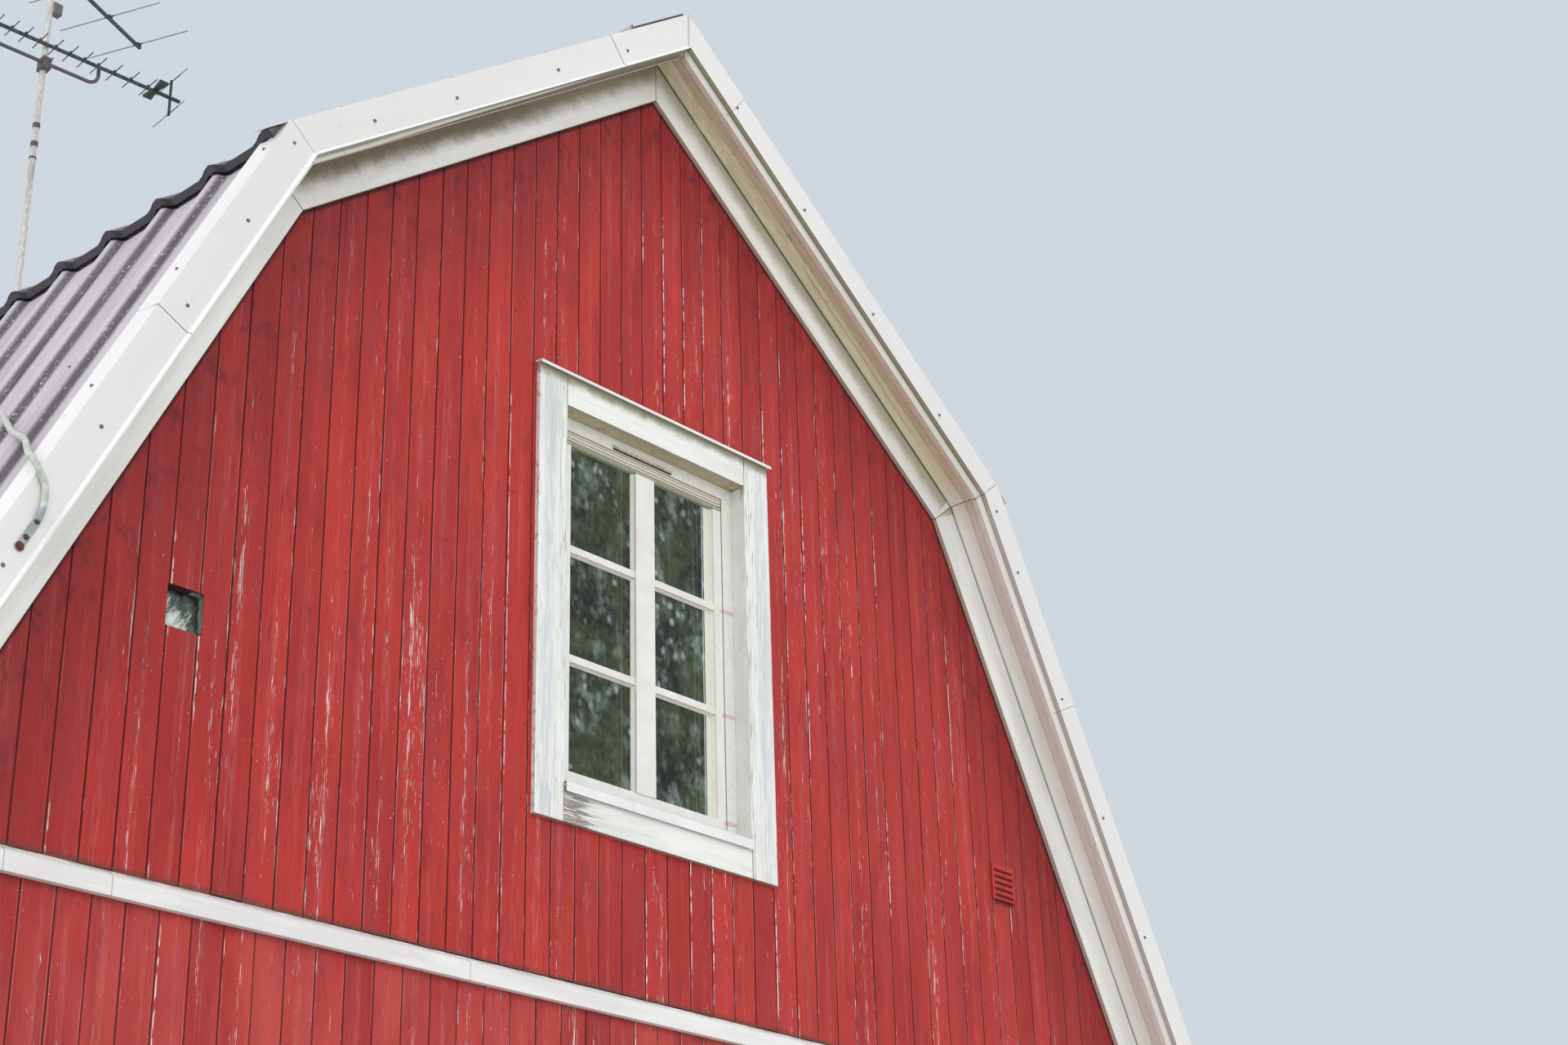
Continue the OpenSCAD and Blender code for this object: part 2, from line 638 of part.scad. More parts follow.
// Mast, standing on the roof boarding, with the clamp bands of earlier aerials
mast_base = up_at(mast_x / cos(up_a) - deck_top * tan(up_a), deck_top)[1];
module antenna_mast() {
    color(metal_grey) difference() {
        translate([-mast_x, mast_row, 0]) {
            translate([0, 0, mast_base - 100]) cylinder(d = mast_d, h = mast_top - mast_base + 100);
            for (band = [[8985, 30], [8870, 30], [8795, 12]])
                translate([0, 0, band[0]]) cylinder(d = mast_d + 6, h = band[1]);
            // amplifier box beside the mast
            translate([mast_d / 2 - 4, -20, 9730]) cube([52, 44, 66]);
        }
        mirror([1, 0, 0]) upright(mast_row - 100, mast_row + 100)
            polygon([up_at("ridge", 0), up_at("ridge", deck_top + seat), up_at(up_len, deck_top + seat),
                up_at(up_len, 0)]);
    }
}
uhf_z = 9500;
uhf_yaw = -5;
uhf_side = mast_d / 2 + 12;
support_drop = 118;
support_d = 20;
// Aerials lie in a plane: X along the boom away from the mast, Y across
module rod(length, d) {
    rotate([90, 0, 0]) translate([0, 0, -length / 2]) cylinder(d = d, h = length, $fn = 8);
}
module tube_x(x0, x1, d) { translate([x0, 0, 0]) rotate([0, 90, 0]) cylinder(d = d, h = x1 - x0, $fn = 12); }
module mast_clamp(height, out) {
    difference() {
        translate([-mast_d / 2 - 8, -out, -height / 2]) cube([mast_d + 16, out + mast_d / 2 + 8, height]);
        translate([0, 0, -height]) cylinder(d = mast_d + 2 * seat, h = 2 * height);
    }
}
directors = [for (i = [0:6]) -207 - 85 * i, -127, -45, 45, 130, 215, 295, 390, 490, 595];
support_ends = [-430, 300];
module uhf_antenna() {
    turn = 60;
    color(metal_grey) translate([-mast_x, mast_row, uhf_z]) rotate(uhf_yaw) {
        translate([0, -uhf_side, 0]) {
            translate([-760, -7.5, -7.5]) cube([1550, 15, 15]);
            for (x = directors) translate([x, 0, 7]) rod(150 + 40 * (x + 700) / 1300, 6);
            // reflector: an upright with a rod at each end
            translate([725, -5, -115]) cube([12, 10, 230]);
            for (z = [-105, 105]) translate([731, 0, z]) rod(330, 6);
            // support tube with bent-up ends
            translate([0, 0, -support_drop])
                tube_x(support_ends[0] + turn, support_ends[1] - turn, support_d);
            for (end = [0, 1]) translate([support_ends[end], 0, turn - support_drop]) {
                cylinder(d = support_d, h = support_drop - turn, $fn = 12);
                translate([(1 - 2 * end) * turn, 0, 0]) rotate([90, 180 - 90 * end, 0])
                    rotate_extrude(angle = 90, $fn = 24) translate([turn, 0]) circle(d = support_d, $fn = 12);
            }
        }
        // bow-tie dipole
        translate([640, -uhf_side, 4]) linear_extrude(16)
            polygon([[-12, 0], [-26, -92], [26, -92], [12, 0], [26, 92], [-26, 92]]);
        translate([0, 0, -support_drop]) mast_clamp(70, uhf_side + 14);
    }
}
vhf_z = 10000;
vhf_yaw = 21;
module vhf_antenna() {
    side = mast_d / 2 + 12;
    color(metal_grey) translate([-mast_x, mast_row, vhf_z]) rotate(vhf_yaw) {
        translate([0, -side, 0]) {
            translate([-460, -8, -8]) cube([1220, 16, 16]);
            for (x = [-420, 190, 464, 740]) translate([x, 0, 12]) rod(x < 0 ? 760 : 650, 8);
            for (x = [190, 464, 740]) translate([x - 14, -12, 6]) cube([28, 24, 12]);
            // folded dipole
            for (x = [-170, -120]) translate([x, 0, 12]) rod(700, 8);
            for (y = [-350, 350]) translate([-145, y, 12]) tube_x(-25, 25, 8);
        }
        mast_clamp(50, side + 12);
    }
}

plinth();
ground_floor();
attic_floor();
front_wall();
front_gable();
back_wall();
back_gable();
left_wall();
right_wall();
corner_boards();
belt_boards();
front_frieze();
back_frieze();
front_soffit();
back_soffit();
front_barge_boards();
back_barge_boards();
front_verge_flashing();
back_verge_flashing();
roof_left();
roof_right();
roof_sheets_left();
roof_sheets_right();
ridge_cap();
eave_boards();
front_window_casings();
front_window_frames();
front_window_glass();
back_window_casings();
back_window_frames();
back_window_glass();
left_window_casings();
left_window_frames();
left_window_glass();
right_window_casings();
right_window_frames();
right_window_glass();
window_flashings();
door_leaf();
door_frame();
door_step();
wall_vents();
grab_rail();
antenna_mast();
uhf_antenna();
vhf_antenna();
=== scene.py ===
import itertools
import math
import random

import bmesh
import bpy
from mathutils import Matrix, Vector, noise


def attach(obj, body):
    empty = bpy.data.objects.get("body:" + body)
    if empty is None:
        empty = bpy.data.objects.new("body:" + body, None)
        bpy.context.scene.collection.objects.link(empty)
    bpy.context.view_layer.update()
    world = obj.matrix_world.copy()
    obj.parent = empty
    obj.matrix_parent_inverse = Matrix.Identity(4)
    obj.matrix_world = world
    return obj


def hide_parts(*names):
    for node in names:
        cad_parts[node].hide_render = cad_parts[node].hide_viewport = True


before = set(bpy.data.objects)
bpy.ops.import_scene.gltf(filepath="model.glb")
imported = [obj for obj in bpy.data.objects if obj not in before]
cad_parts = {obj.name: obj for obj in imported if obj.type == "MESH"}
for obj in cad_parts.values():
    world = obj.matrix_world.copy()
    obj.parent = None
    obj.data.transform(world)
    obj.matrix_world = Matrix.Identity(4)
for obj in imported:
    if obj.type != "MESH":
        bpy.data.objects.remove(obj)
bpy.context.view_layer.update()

# Plinth: a ring of cast concrete under the walls, with the marks of its form boards, small pores and
# a darker splash zone near the ground.


def srgb(red, green, blue):
    """A colour as a screen shows it, 0 to 255, made linear for a shader."""
    shares = [part / 255 for part in (red, green, blue)]
    return (*[s / 12.92 if s < 0.04045 else ((s + 0.055) / 1.055) ** 2.4 for s in shares], 1)


class Socket:
    """A socket of a material. Sums and products of sockets add the nodes that work them out."""

    def __init__(self, socket):
        self.socket = socket

    def node(self, kind, settings=None, sockets=None, out=0):
        """Adds any node: its settings first, then the values or links of its sockets."""
        tree = self.socket.id_data
        new = tree.nodes.new("ShaderNode" + kind)
        for name, value in (settings or {}).items():
            setattr(new, name, value)
        for key, value in (sockets or {}).items():
            if isinstance(value, Socket):
                tree.links.new(new.inputs[key], value.socket)
            else:
                new.inputs[key].default_value = value
        return Socket(new.outputs[out])

    def math(self, operation, *values):
        return self.node("Math", {"operation": operation}, dict(enumerate(values)))

    def __add__(self, other):
        return self.math("ADD", self, other)

    def __radd__(self, other):
        return self.math("ADD", other, self)

    def __sub__(self, other):
        return self.math("SUBTRACT", self, other)

    def __rsub__(self, other):
        return self.math("SUBTRACT", other, self)

    def __mul__(self, other):
        return self.math("MULTIPLY", self, other)

    def __rmul__(self, other):
        return self.math("MULTIPLY", other, self)

    def __truediv__(self, other):
        return self.math("DIVIDE", self, other)

    def __lt__(self, other):
        return self.math("LESS_THAN", self, other)

    def __gt__(self, other):
        return self.math("GREATER_THAN", self, other)

    def __abs__(self):
        return self.math("ABSOLUTE", self)

    def floor(self):
        return self.math("FLOOR", self)

    def most(self, other):
        return self.math("MAXIMUM", self, other)

    def least(self, other):
        return self.math("MINIMUM", self, other)

    def rise(self, low, high):
        """0 below low and 1 above high with a soft step between, or the reverse if low is higher."""
        return self.node("MapRange", {"interpolation_type": "SMOOTHSTEP"}, {0: self, 1: low, 2: high})

    def mix(self, start, end):
        """From the start colour at 0 to the end colour at 1; three numbers are a colour for srgb."""
        start, end = (part if isinstance(part, Socket) else srgb(*part) for part in (start, end))
        return self.node("Mix", {"data_type": "RGBA"}, {0: self, 6: start, 7: end}, out=2)

    def between(self, start, end):
        return start + self * (end - start)

    def fold(self, pitch):
        """Distance from the nearest of the places that lie whole pitches apart."""
        return self - (self / pitch + 0.5).floor() * pitch

    def near(self, place, far, close):
        """1 closer to a place than close and 0 farther from it than far."""
        return abs(self - place).rise(far, close)

    def split(self):
        parts = self.node("SeparateXYZ", {}, {0: self})
        return [Socket(out) for out in parts.socket.node.outputs]

    def place(self, x, y, z):
        return self.node("CombineXYZ", {}, {0: x, 1: y, 2: z})

    def noise(self, waves, detail=3, rough=0.5, shift=0):
        """Noise with so many waves a metre, along all axes or each, mostly between 0.3 and 0.7."""
        waves = waves if isinstance(waves, tuple) else (waves,) * 3
        spot = self.node("VectorMath", {"operation": "MULTIPLY_ADD"}, {0: self, 1: waves, 2: (shift,) * 3})
        return spot.node("TexNoise", {}, {"Vector": spot, "Scale": 1, "Detail": detail, "Roughness": rough})

    def chance(self):
        """A random share for each whole value."""
        return self.node("TexWhiteNoise", {"noise_dimensions": "1D"}, {"W": self})


def finish(name, **fixed):
    """A new material with its uniform values set, and the Object coordinates its pattern is drawn on."""
    made = bpy.data.materials.new(name)
    made.use_nodes = True
    shader = made.node_tree.nodes["Principled BSDF"]
    for key, value in fixed.items():
        shader.inputs[key.replace("_", " ")].default_value = value
    return made, Socket(made.node_tree.nodes.new("ShaderNodeTexCoord").outputs["Object"])


def coat(made, colour, roughness, relief=None, depth=0.001, **more):
    """Links colour and roughness to the shader, and relief as bumps of the given depth in metres."""
    shader = made.node_tree.nodes["Principled BSDF"]
    links = {"Base Color": colour, "Roughness": roughness, **more}
    if relief is not None:
        links["Normal"] = relief.node("Bump", {}, {"Strength": 1, "Distance": depth, "Height": relief})
    for key, value in links.items():
        if isinstance(value, Socket):
            made.node_tree.links.new(shader.inputs[key], value.socket)
        else:
            shader.inputs[key].default_value = value


def dress(material, *names):
    """Gives CAD nodes this material."""
    for name in names:
        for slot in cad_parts[name].material_slots:
            slot.link = "OBJECT"
            slot.material = material


concrete, spot = finish("cast_concrete")
z = spot.split()[2]
cloud = spot.noise((2.2, 2.2, 3.5), 5, 0.6)
pores = spot.node("TexVoronoi", {}, {"Vector": spot, "Scale": 55}).rise(0.12, 0.2)
form_marks = z.fold(0.1).near(0, 0.003, 0)
splash = z.rise(0.16, 0.0) * spot.noise((9, 9, 4), 4).rise(0.3, 0.7)
colour = cloud.rise(0.3, 0.7).mix((146, 143, 137), (178, 175, 168))
colour = (splash * 0.6).mix(colour, (104, 98, 86))
colour = ((1 - pores) * 0.7).mix(colour, (88, 84, 78))
coat(concrete, colour, cloud.between(0.8, 0.95), pores * 0.7 + cloud * 0.5 - form_marks * 0.4, 0.002)
dress(concrete, "plinth", "door_step")

# Floors and roof boarding: planed softwood, unpainted, that shows only where it looks out under the sheets
# and through openings.
softwood, spot = finish("bare_softwood")
fibre = spot.noise((60, 2.5, 60), 4, 0.6)
rings = spot.noise((9, 0.7, 9), 2)
plank = spot.split()[0].fold(0.12).near(0, 0.0024, 0.0006)
colour = fibre.rise(0.3, 0.7).mix((150, 118, 82), (186, 154, 112))
colour = (rings.rise(0.5, 0.62) * 0.4).mix(colour, (122, 90, 58))
colour = (plank * 0.8).mix(colour, (52, 38, 26))
coat(softwood, colour, fibre.between(0.6, 0.75), fibre - plank, 0.0012)
dress(softwood, "ground_floor", "attic_floor", "roof_left", "roof_right")

# Walls: the timber behind the boarding, bare wood gone brown. It shows only in the joints and in the open
# vent hole, whose right and upper sides are a paler grey.
vent_x, vent_z, vent_r = 2.076, 4.528, 0.068
backing, spot = finish("wall_backing")
fibre = spot.noise((90, 90, 3), 4, 0.6)
colour = fibre.rise(0.3, 0.7).mix((42, 22, 19), (70, 38, 32))
x, _, z = spot.split()
reveal = abs(x + vent_x).most(abs(z - vent_z)).rise(vent_r + 0.002, vent_r + 0.001) * (x > -2.05)
colour = (reveal * fibre.rise(0.3, 0.5)).mix(colour, (150, 150, 140))
coat(backing, colour, fibre.between(0.75, 0.95), fibre, 0.001)
dress(backing, "front_wall", "front_gable", "back_wall", "back_gable", "left_wall", "right_wall")

# Boarding: upright tongued and grooved softwood, 115 mm cover with V joints, painted red. The paint is
# rubbed pink along the fibres, cracked at joints and knots, and has flaked off in white slivers.
board_w = 0.115
half_w, half_l = 2.95, 4.05
ridge_z, knee_x, knee_z, foot_z = 7.45, 1.74, 6.12, 3.70
up_a = math.atan2(ridge_z - knee_z, knee_x)
low_a = math.atan2(knee_z - foot_z, half_w - knee_x)
up_len = knee_x / math.cos(up_a)
slopes = ((0, ridge_z, up_a), (knee_x, knee_z, low_a))
belt_top = 3.6515
# where the attic's paint is most worn: middle, half width and half height of each area, and how much
worn_areas = ((-2.06, 4.66, 0.34, 0.85, 0.07), (0.3, 6.15, 0.7, 0.4, 0.05), (0.9, 5.4, 0.3, 0.6, 0.07),
              (-1.2, 4.3, 0.7, 0.7, 0.03))


def down_slope(side, z, start_x, start_z, angle):
    """Distance down a slope from where it starts, and distance off it."""
    x, z = side - start_x, z - start_z
    return x * math.cos(angle) - z * math.sin(angle), x * math.sin(angle) + z * math.cos(angle)


def down_roof(spot):
    """Distance down the gambrel from the ridge, offset off the frieze's lower edge, and the place along Y."""
    x, y, z = spot.split()
    (s_up, d_up), (s_low, d_low) = [down_slope(abs(x), z, *slope) for slope in slopes]
    lower = (s_up - up_len + s_low) > 0
    return lower.between(s_up, s_low + up_len), lower.between(d_up, d_low), y


def red_paint(name, axis, phase, attic=False):
    """Worn red paint on upright boards whose joints lie at phase plus whole board widths along X or Y."""
    made, spot = finish(name, Specular_IOR_Level=0.3)
    parts = spot.split()
    across, y, z = parts[axis], parts[1], parts[2]
    count = (across - phase) / board_w
    board = count.floor()
    inside = count - board
    edge = (0.5 - abs(inside - 0.5)) * board_w
    luck, luck2 = board.chance(), (board + 0.5).chance()
    wood = spot.place(across + luck * 3, luck2 * 9, z + luck * 11)
    # broad changes of the paint from board to board and down each board
    cloud = wood.noise((5, 1, 0.9), 4, 0.6)
    colour = (cloud * 0.86 + luck * 0.14).rise(0.3, 0.7).mix((162, 38, 35), (189, 51, 44))
    side = inside.rise(0.12, 0.0).most(inside.rise(0.88, 1.0))
    colour = (side * 0.4).mix(colour, (186, 52, 44))
    # rubbed, greyish pink streaks along the fibres, most in the middle of some boards
    patch = wood.noise((7, 1, 1.1), 3, 0.5, 40)
    fibre = wood.noise((260, 1, 9), 3, 0.65, 7)
    streak = wood.noise((75, 1, 1.6), 4, 0.65, 3)
    middle = inside.near((luck2 - 0.5) * 0.3 + 0.5, 0.24, 0.03)
    rubbed = (patch * 0.75 + middle * 0.2).rise(0.44, 0.66) * (streak * 0.5 + fibre * 0.5).rise(0.44, 0.60)
    rubbed = rubbed * (1 - side) * wood.noise((190, 1, 30), 3, 0.7, 55).rise(0.40, 0.58).between(0.3, 1.1)
    colour = (rubbed * 0.30).mix(colour, (206, 142, 140))
    # violet and dark clouds, and dark fibres
    bluish = wood.noise((16, 1, 3), 4, 0.6, 66).rise(0.48, 0.68)
    dark = wood.noise((11, 1, 3.5), 5, 0.7, 44).rise(0.52, 0.70)
    colour = (bluish * 0.3).mix(colour, (150, 62, 74))
    colour = (dark * 0.4).mix(colour, (126, 32, 36))
    colour = (fibre.rise(0.5, 0.3) * 0.38).mix(colour, (116, 26, 27))
    # hair cracks
    hair = wood.noise((48, 1, 0.8), 2, 0.5, 21).near(0.5, 0.006, 0.0) * patch.rise(0.4, 0.55)
    colour = (hair * 0.6).mix(colour, (82, 24, 24))
    # knots with a dark rim
    cells = wood.node("VectorMath", {"operation": "MULTIPLY"}, {0: wood, 1: (1, 1, 0.75)})
    knots = cells.node("TexVoronoi", {}, {"Vector": cells, "Scale": 12})
    kind = Socket(knots.socket.node.outputs["Color"]).split()
    ripe, size = kind[0].rise(0.6, 0.64), kind[1].between(0.035, 0.085)
    knot = ripe * (knots / size).rise(1.0, 0.75)
    core = ripe * (knots / size).rise(0.5, 0.3)
    colour = (knot * 0.6).mix(colour, (96, 26, 26))
    colour = (core * 0.4).mix(colour, (150, 60, 54))
    # white slivers where the paint has come off down to the primer, beside knots, cracks and joints, and
    # most on the attic's worn areas
    worn = wood.noise((9, 1, 0.8), 3, 0.5, 60)
    if attic:
        offset = down_roof(spot)[1]
        worn = worn - across.rise(-2.28, -2.45) * 0.12
        for x0, z0, reach_x, reach_z, more in worn_areas:
            off_x, off_z = (across - x0) / reach_x, (z - z0) / reach_z
            worn = worn + (off_x * off_x + off_z * off_z).rise(1.2, 0.1) * more
    sliver = wood.noise((300, 1, 12), 4, 0.62, 90)
    near_joint = edge.rise(0.012, 0.003) * luck.rise(0.3, 0.6).between(0.035, 0.1)
    wander = (luck2 - 0.5) * 0.5 + wood.noise((1, 1, 2.5), 3, 0.6, 18) * 0.12 + 0.44
    bald = worn * 0.42 + sliver * 0.72 + near_joint + inside.near(wander, 0.11, 0.02) * 0.07 + knot * 0.05
    dots = wood.noise((170, 1, 75), 2, 0.5, 33).rise(0.735, 0.75) * worn.rise(0.42, 0.56)
    crackle = wood.noise((1, 1, 2.2), 3, 0.5, 12).rise(0.5, 0.56)
    crackle = crackle * wood.noise((70, 1, 22), 3, 0.6).rise(0.44, 0.52)
    beside = inside.near(wood.noise((1, 1, 14), 3, 0.6, 5) * 0.04 + 0.045, 0.03, 0.014)
    white = bald.rise(0.750, 0.764).most(dots).most(luck2.rise(0.68, 0.72) * crackle * beside)
    if attic:
        white = white * offset.rise(-0.04, -0.30)
    # arrises of the V joints pale here and there, under the white: rubbed paint, and a painted highlight
    # along the arris
    arris = edge.rise(0.0075, 0.0055) * edge.rise(0.0030, 0.0045)
    arris = arris * wood.noise((1, 1, 1.6), 3, 0.6, 77).rise(0.5, 0.62)
    colour = (arris * 0.35).mix(colour, (214, 150, 142))
    colour = (white * 0.9).mix(colour, fibre.rise(0.3, 0.7).mix((208, 176, 168), (246, 236, 230)))
    # dirt and shade in the joints
    colour = (edge.rise(0.0050, 0.0022) * 0.82).mix(colour, (64, 14, 15))
    if attic:
        # painted shade, dark blotches and a painted shadow line under the frieze, painted shade in and below
        # the vents, and dirt on the belt's ledge
        colour = (offset.rise(-0.7, 0.0) * 0.42).mix(colour, (104, 26, 28))
        blotch = offset.rise(-0.40, -0.02) * spot.noise((13, 1, 9), 5, 0.75).rise(0.50, 0.66)
        colour = (blotch * 0.55).mix(colour, (78, 22, 32))
        colour = (offset.rise(-0.024, -0.006) * 0.85).mix(colour, (44, 10, 14))
        # painted shade in the vents' openings behind the louvres, and a painted shadow below each vent still
        # in place
        off_vent = abs(abs(across) - vent_x)
        behind = off_vent.rise(0.067, 0.064) * abs(z - vent_z).rise(0.072, 0.069)
        fitted = 1 - (y < 0) * (across < 0)
        below = off_vent.rise(0.078, 0.055) * z.rise(4.418, 4.450) * (z < 4.46) * fitted
        colour = (behind.most(below * 0.85) * 0.95).mix(colour, (24, 8, 9))
        foot = (z - belt_top - spot.noise((9, 9, 3), 4, 0.7) * 0.03).rise(0.008, -0.008)
        colour = (foot * 0.7).mix(colour, (96, 62, 50))
    else:
        # shade under the belt, and greyer clouds
        colour = (z.rise(3.540, 3.572) * 0.5).mix(colour, (90, 20, 24))
        colour = (cloud.rise(0.3, 0.7) * 0.28).mix(colour, (190, 98, 93))
    relief = cloud * 0.6 + fibre * 0.3 - white * 0.6 - hair * 0.6 + knot * 0.3
    coat(made, colour, (fibre * 0.6 + rubbed * 0.4).between(0.55, 0.8), relief, 0.001)
    return made


def piece(name, bm, material, angle=None):
    """Makes the object from its bmesh, with its finish. Edges flatter than angle are smooth."""
    mesh = bpy.data.meshes.new(name)
    for face in bm.faces:
        face.smooth = angle is not None
    bm.to_mesh(mesh)
    bm.free()
    if angle is not None:
        mesh.set_sharp_from_angle(angle=math.radians(angle))
    mesh.materials.append(material)
    made = bpy.data.objects.new(name, mesh)
    bpy.context.scene.collection.objects.link(made)
    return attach(made, "root")


def block(bm, low, high):
    """A box between two corners. Gives its edges."""
    low, high = Vector(low), Vector(high)
    at = Matrix.Translation((low + high) / 2) @ Matrix.Diagonal((*(high - low), 1))
    verts = bmesh.ops.create_cube(bm, size=1, matrix=at)["verts"]
    return list({edge for vert in verts for edge in vert.link_edges})


def plane_off(bm, edges, width, segments=1):
    """Takes the arris off these edges."""
    bmesh.ops.bevel(bm, geom=edges, offset=width, offset_type="OFFSET", segments=segments, profile=0.5,
                    affect="EDGES", material=-1)


def cut(bm, point, normal):
    """Cuts away what lies on the normal's side of a plane and closes the cut."""
    geom = bm.verts[:] + bm.edges[:] + bm.faces[:]
    made = bmesh.ops.bisect_plane(bm, geom=geom, dist=1e-6, plane_co=point, plane_no=normal,
                                  clear_outer=True)
    edges = [part for part in made["geom_cut"] if isinstance(part, bmesh.types.BMEdge)]
    bmesh.ops.edgeloop_fill(bm, edges=edges)


def rod(bm, at, radius, depth, segments, tip=None):
    """A round bar along Z of the frame at, or a cone with the radius tip at its far end."""
    tip = radius if tip is None else tip
    bmesh.ops.create_cone(bm, cap_ends=True, segments=segments, radius1=radius, radius2=tip, depth=depth,
                          matrix=at)


def move(x, y, z):
    """A frame shifted by these metres."""
    return Matrix.Translation((x, y, z))


def turn(degrees, axis):
    """A frame turned round one axis."""
    return Matrix.Rotation(math.radians(degrees), 4, axis)


# wall frames: X along the wall seen from outside, -Y outwards
on_front, on_back = move(0, -half_l, 0), turn(180, "Z") @ move(0, -half_l, 0)
on_left, on_right = [turn(angle, "Z") @ move(0, -half_w, 0) for angle in (-90, 90)]
board_t, board_gap, arris_w = 0.004, 0.0004, 0.0032


def boarding(name, material, wall, phase, reach, low, high, openings, hole=None, gable=False):
    """Boards over one storey of a wall, left out behind casings and cut round the hole and along the roof."""
    luck = random.Random(name)
    ragged = 0.005 if gable else 0
    bm = bmesh.new()
    k = math.ceil((-reach - phase) / board_w) - 1
    while phase + k * board_w < reach:
        left = max(phase + k * board_w + board_gap, -reach)
        right = min(phase + (k + 1) * board_w - board_gap, reach)
        k += 1
        if right - left < 0.02:
            continue
        proud = board_t + luck.uniform(-0.0006, 0.0006)
        spans = [(low + luck.uniform(0, ragged), high)]
        for x0, x1, z0, z1 in openings:
            if left < x1 and right > x0:
                halves = [part for a, b in spans for part in ((a, min(b, z0)), (max(a, z1), b))]
                spans = [(a, b) for a, b in halves if b > a]
        bars = [(left, right, a, b) for a, b in spans]
        if hole and left < hole[1] and right > hole[0]:
            z0, z1 = [edge + luck.uniform(-0.003, 0.003) for edge in hole[2:]]
            bars = [(left, right, low, z0), (left, right, z1, high)]
            bars += [(a, b, z0, z1) for a, b in ((left, hole[0]), (hole[1], right)) if b > a]
        for a, b, z0, z1 in bars:
            arrises = []
            for edge in block(bm, (a, -proud, z0), (b, 0, z1)):
                one, other = (vert.co for vert in edge.verts)
                upright = abs(one.x - other.x) < 1e-5 and max(one.y, other.y) < -0.001
                if upright and min(abs(one.x - left), abs(one.x - right)) < 1e-5:
                    arrises.append(edge)
            plane_off(bm, arrises, arris_w)
    if gable:
        for side, (x, z, angle) in itertools.product((-1, 1), slopes):
            normal = Vector((side * math.sin(angle), 0, math.cos(angle)))
            cut(bm, Vector((side * x, 0, z)) + normal * 0.03, normal)
    bmesh.ops.transform(bm, matrix=wall, verts=bm.verts)
    return piece(name, bm, material)


# where the boards' joints start on each kind of wall, and how high and wide the boards reach
attic_phase, ground_phase, side_phase = 0.046, -0.012, board_w / 2
plinth_top, under_belt, under_eaves, over_ridge = 0.285, 3.60, 4.015, 7.6
gable_reach, side_reach = 2.91, 4.01
attic_red = red_paint("red_paint_attic", 0, attic_phase, True)
ground_red = red_paint("red_paint_ground", 0, ground_phase)
side_red = red_paint("red_paint_sides", 1, side_phase)
gable_pitch, side_pitch = 1.35, 2.7
attic_hole, door_hole = (-0.5, 0.5, 4.33, 5.86), (-0.51, 0.51, 0.2, 2.56)
vent_hole = (-vent_x - vent_r, -vent_x + vent_r, vent_z - vent_r, vent_z + vent_r)


def window_holes(*places):
    """Openings in the boards for the ground storey's windows at these places along a wall."""
    return [(place - 0.5, place + 0.5, 1.27, 2.80) for place in places]


boarding("front_attic_boards", attic_red, on_front, attic_phase, gable_reach, belt_top, over_ridge,
         [attic_hole], vent_hole, True)
boarding("back_attic_boards", attic_red, on_back, -attic_phase, gable_reach, belt_top, over_ridge,
         [attic_hole], None, True)
gable_holes = window_holes(-gable_pitch, gable_pitch)
for name, wall, phase in (("front_ground_boards", on_front, ground_phase),
                          ("back_ground_boards", on_back, -ground_phase)):
    boarding(name, ground_red, wall, phase, gable_reach, plinth_top, under_belt, gable_holes)
for name, wall, holes in (("left_boards", on_left, window_holes(-side_pitch, 0, side_pitch)),
                          ("right_boards", on_right, window_holes(-side_pitch, side_pitch) + [door_hole])):
    boarding(name, side_red, wall, side_phase, side_reach, plinth_top, under_eaves, holes)

# Torn vent hole: the louvre has come off the left vent, and a crumpled sheet of greenish plastic has been
# pushed into the square hole behind it.
film, spot = finish("crumpled_film", Coat_Roughness=0.12, Coat_Weight=0.6)
x, _, z = spot.split()
across, up = x + vent_x, z - vent_z
slant = spot.place(across * 0.86 - up * 0.5, 0, across * 0.5 + up * 0.86)
crease = slant.noise((46, 1, 16), 4, 0.65)
pale = (crease - across * 2.4 - up * 3.4).rise(0.50, 0.80)
colour = crease.rise(0.35, 0.65).mix((22, 30, 24), (78, 92, 74))
folds = slant.noise((30, 1, 7), 3, 0.5, 5).near(0.5, 0.022, 0.0) * crease.rise(0.4, 0.6)
colour = (folds * 0.6).mix(colour, (170, 182, 170))
colour = pale.mix(colour, (204, 213, 206))
# painted shade at the top and on the right, where the hole's sides keep light off the film
colour = (up.rise(0.030, 0.062).most(across.rise(0.035, 0.062)) * 0.8).mix(colour, (16, 20, 16))
coat(film, colour, crease.between(0.2, 0.45), crease, 0.004)
bm = bmesh.new()
bmesh.ops.create_grid(bm, x_segments=22, y_segments=22, size=0.066)
for vert in bm.verts:
    across, up = vert.co.x, vert.co.y
    fold = noise.fractal(Vector((across * 26, up * 30, 4)), 0.7, 2.2, 3) * 0.006
    sag = 0.016 + 0.10 * max(0, up + 0.02) + 0.05 * max(0, across)
    vert.co = Vector((across - vent_x, -half_l + sag + fold, up + vent_z))
bmesh.ops.recalc_face_normals(bm, faces=bm.faces)
bmesh.ops.solidify(bm, geom=bm.faces[:], thickness=0.0006)
piece("vent_hole_film", bm, film, 60)

# Belt: a planed board nailed over the lower ends of the attic boards, its top sloped to shed water. White
# paint, hardly worn, with thin butt joints and dirt on its ledge.


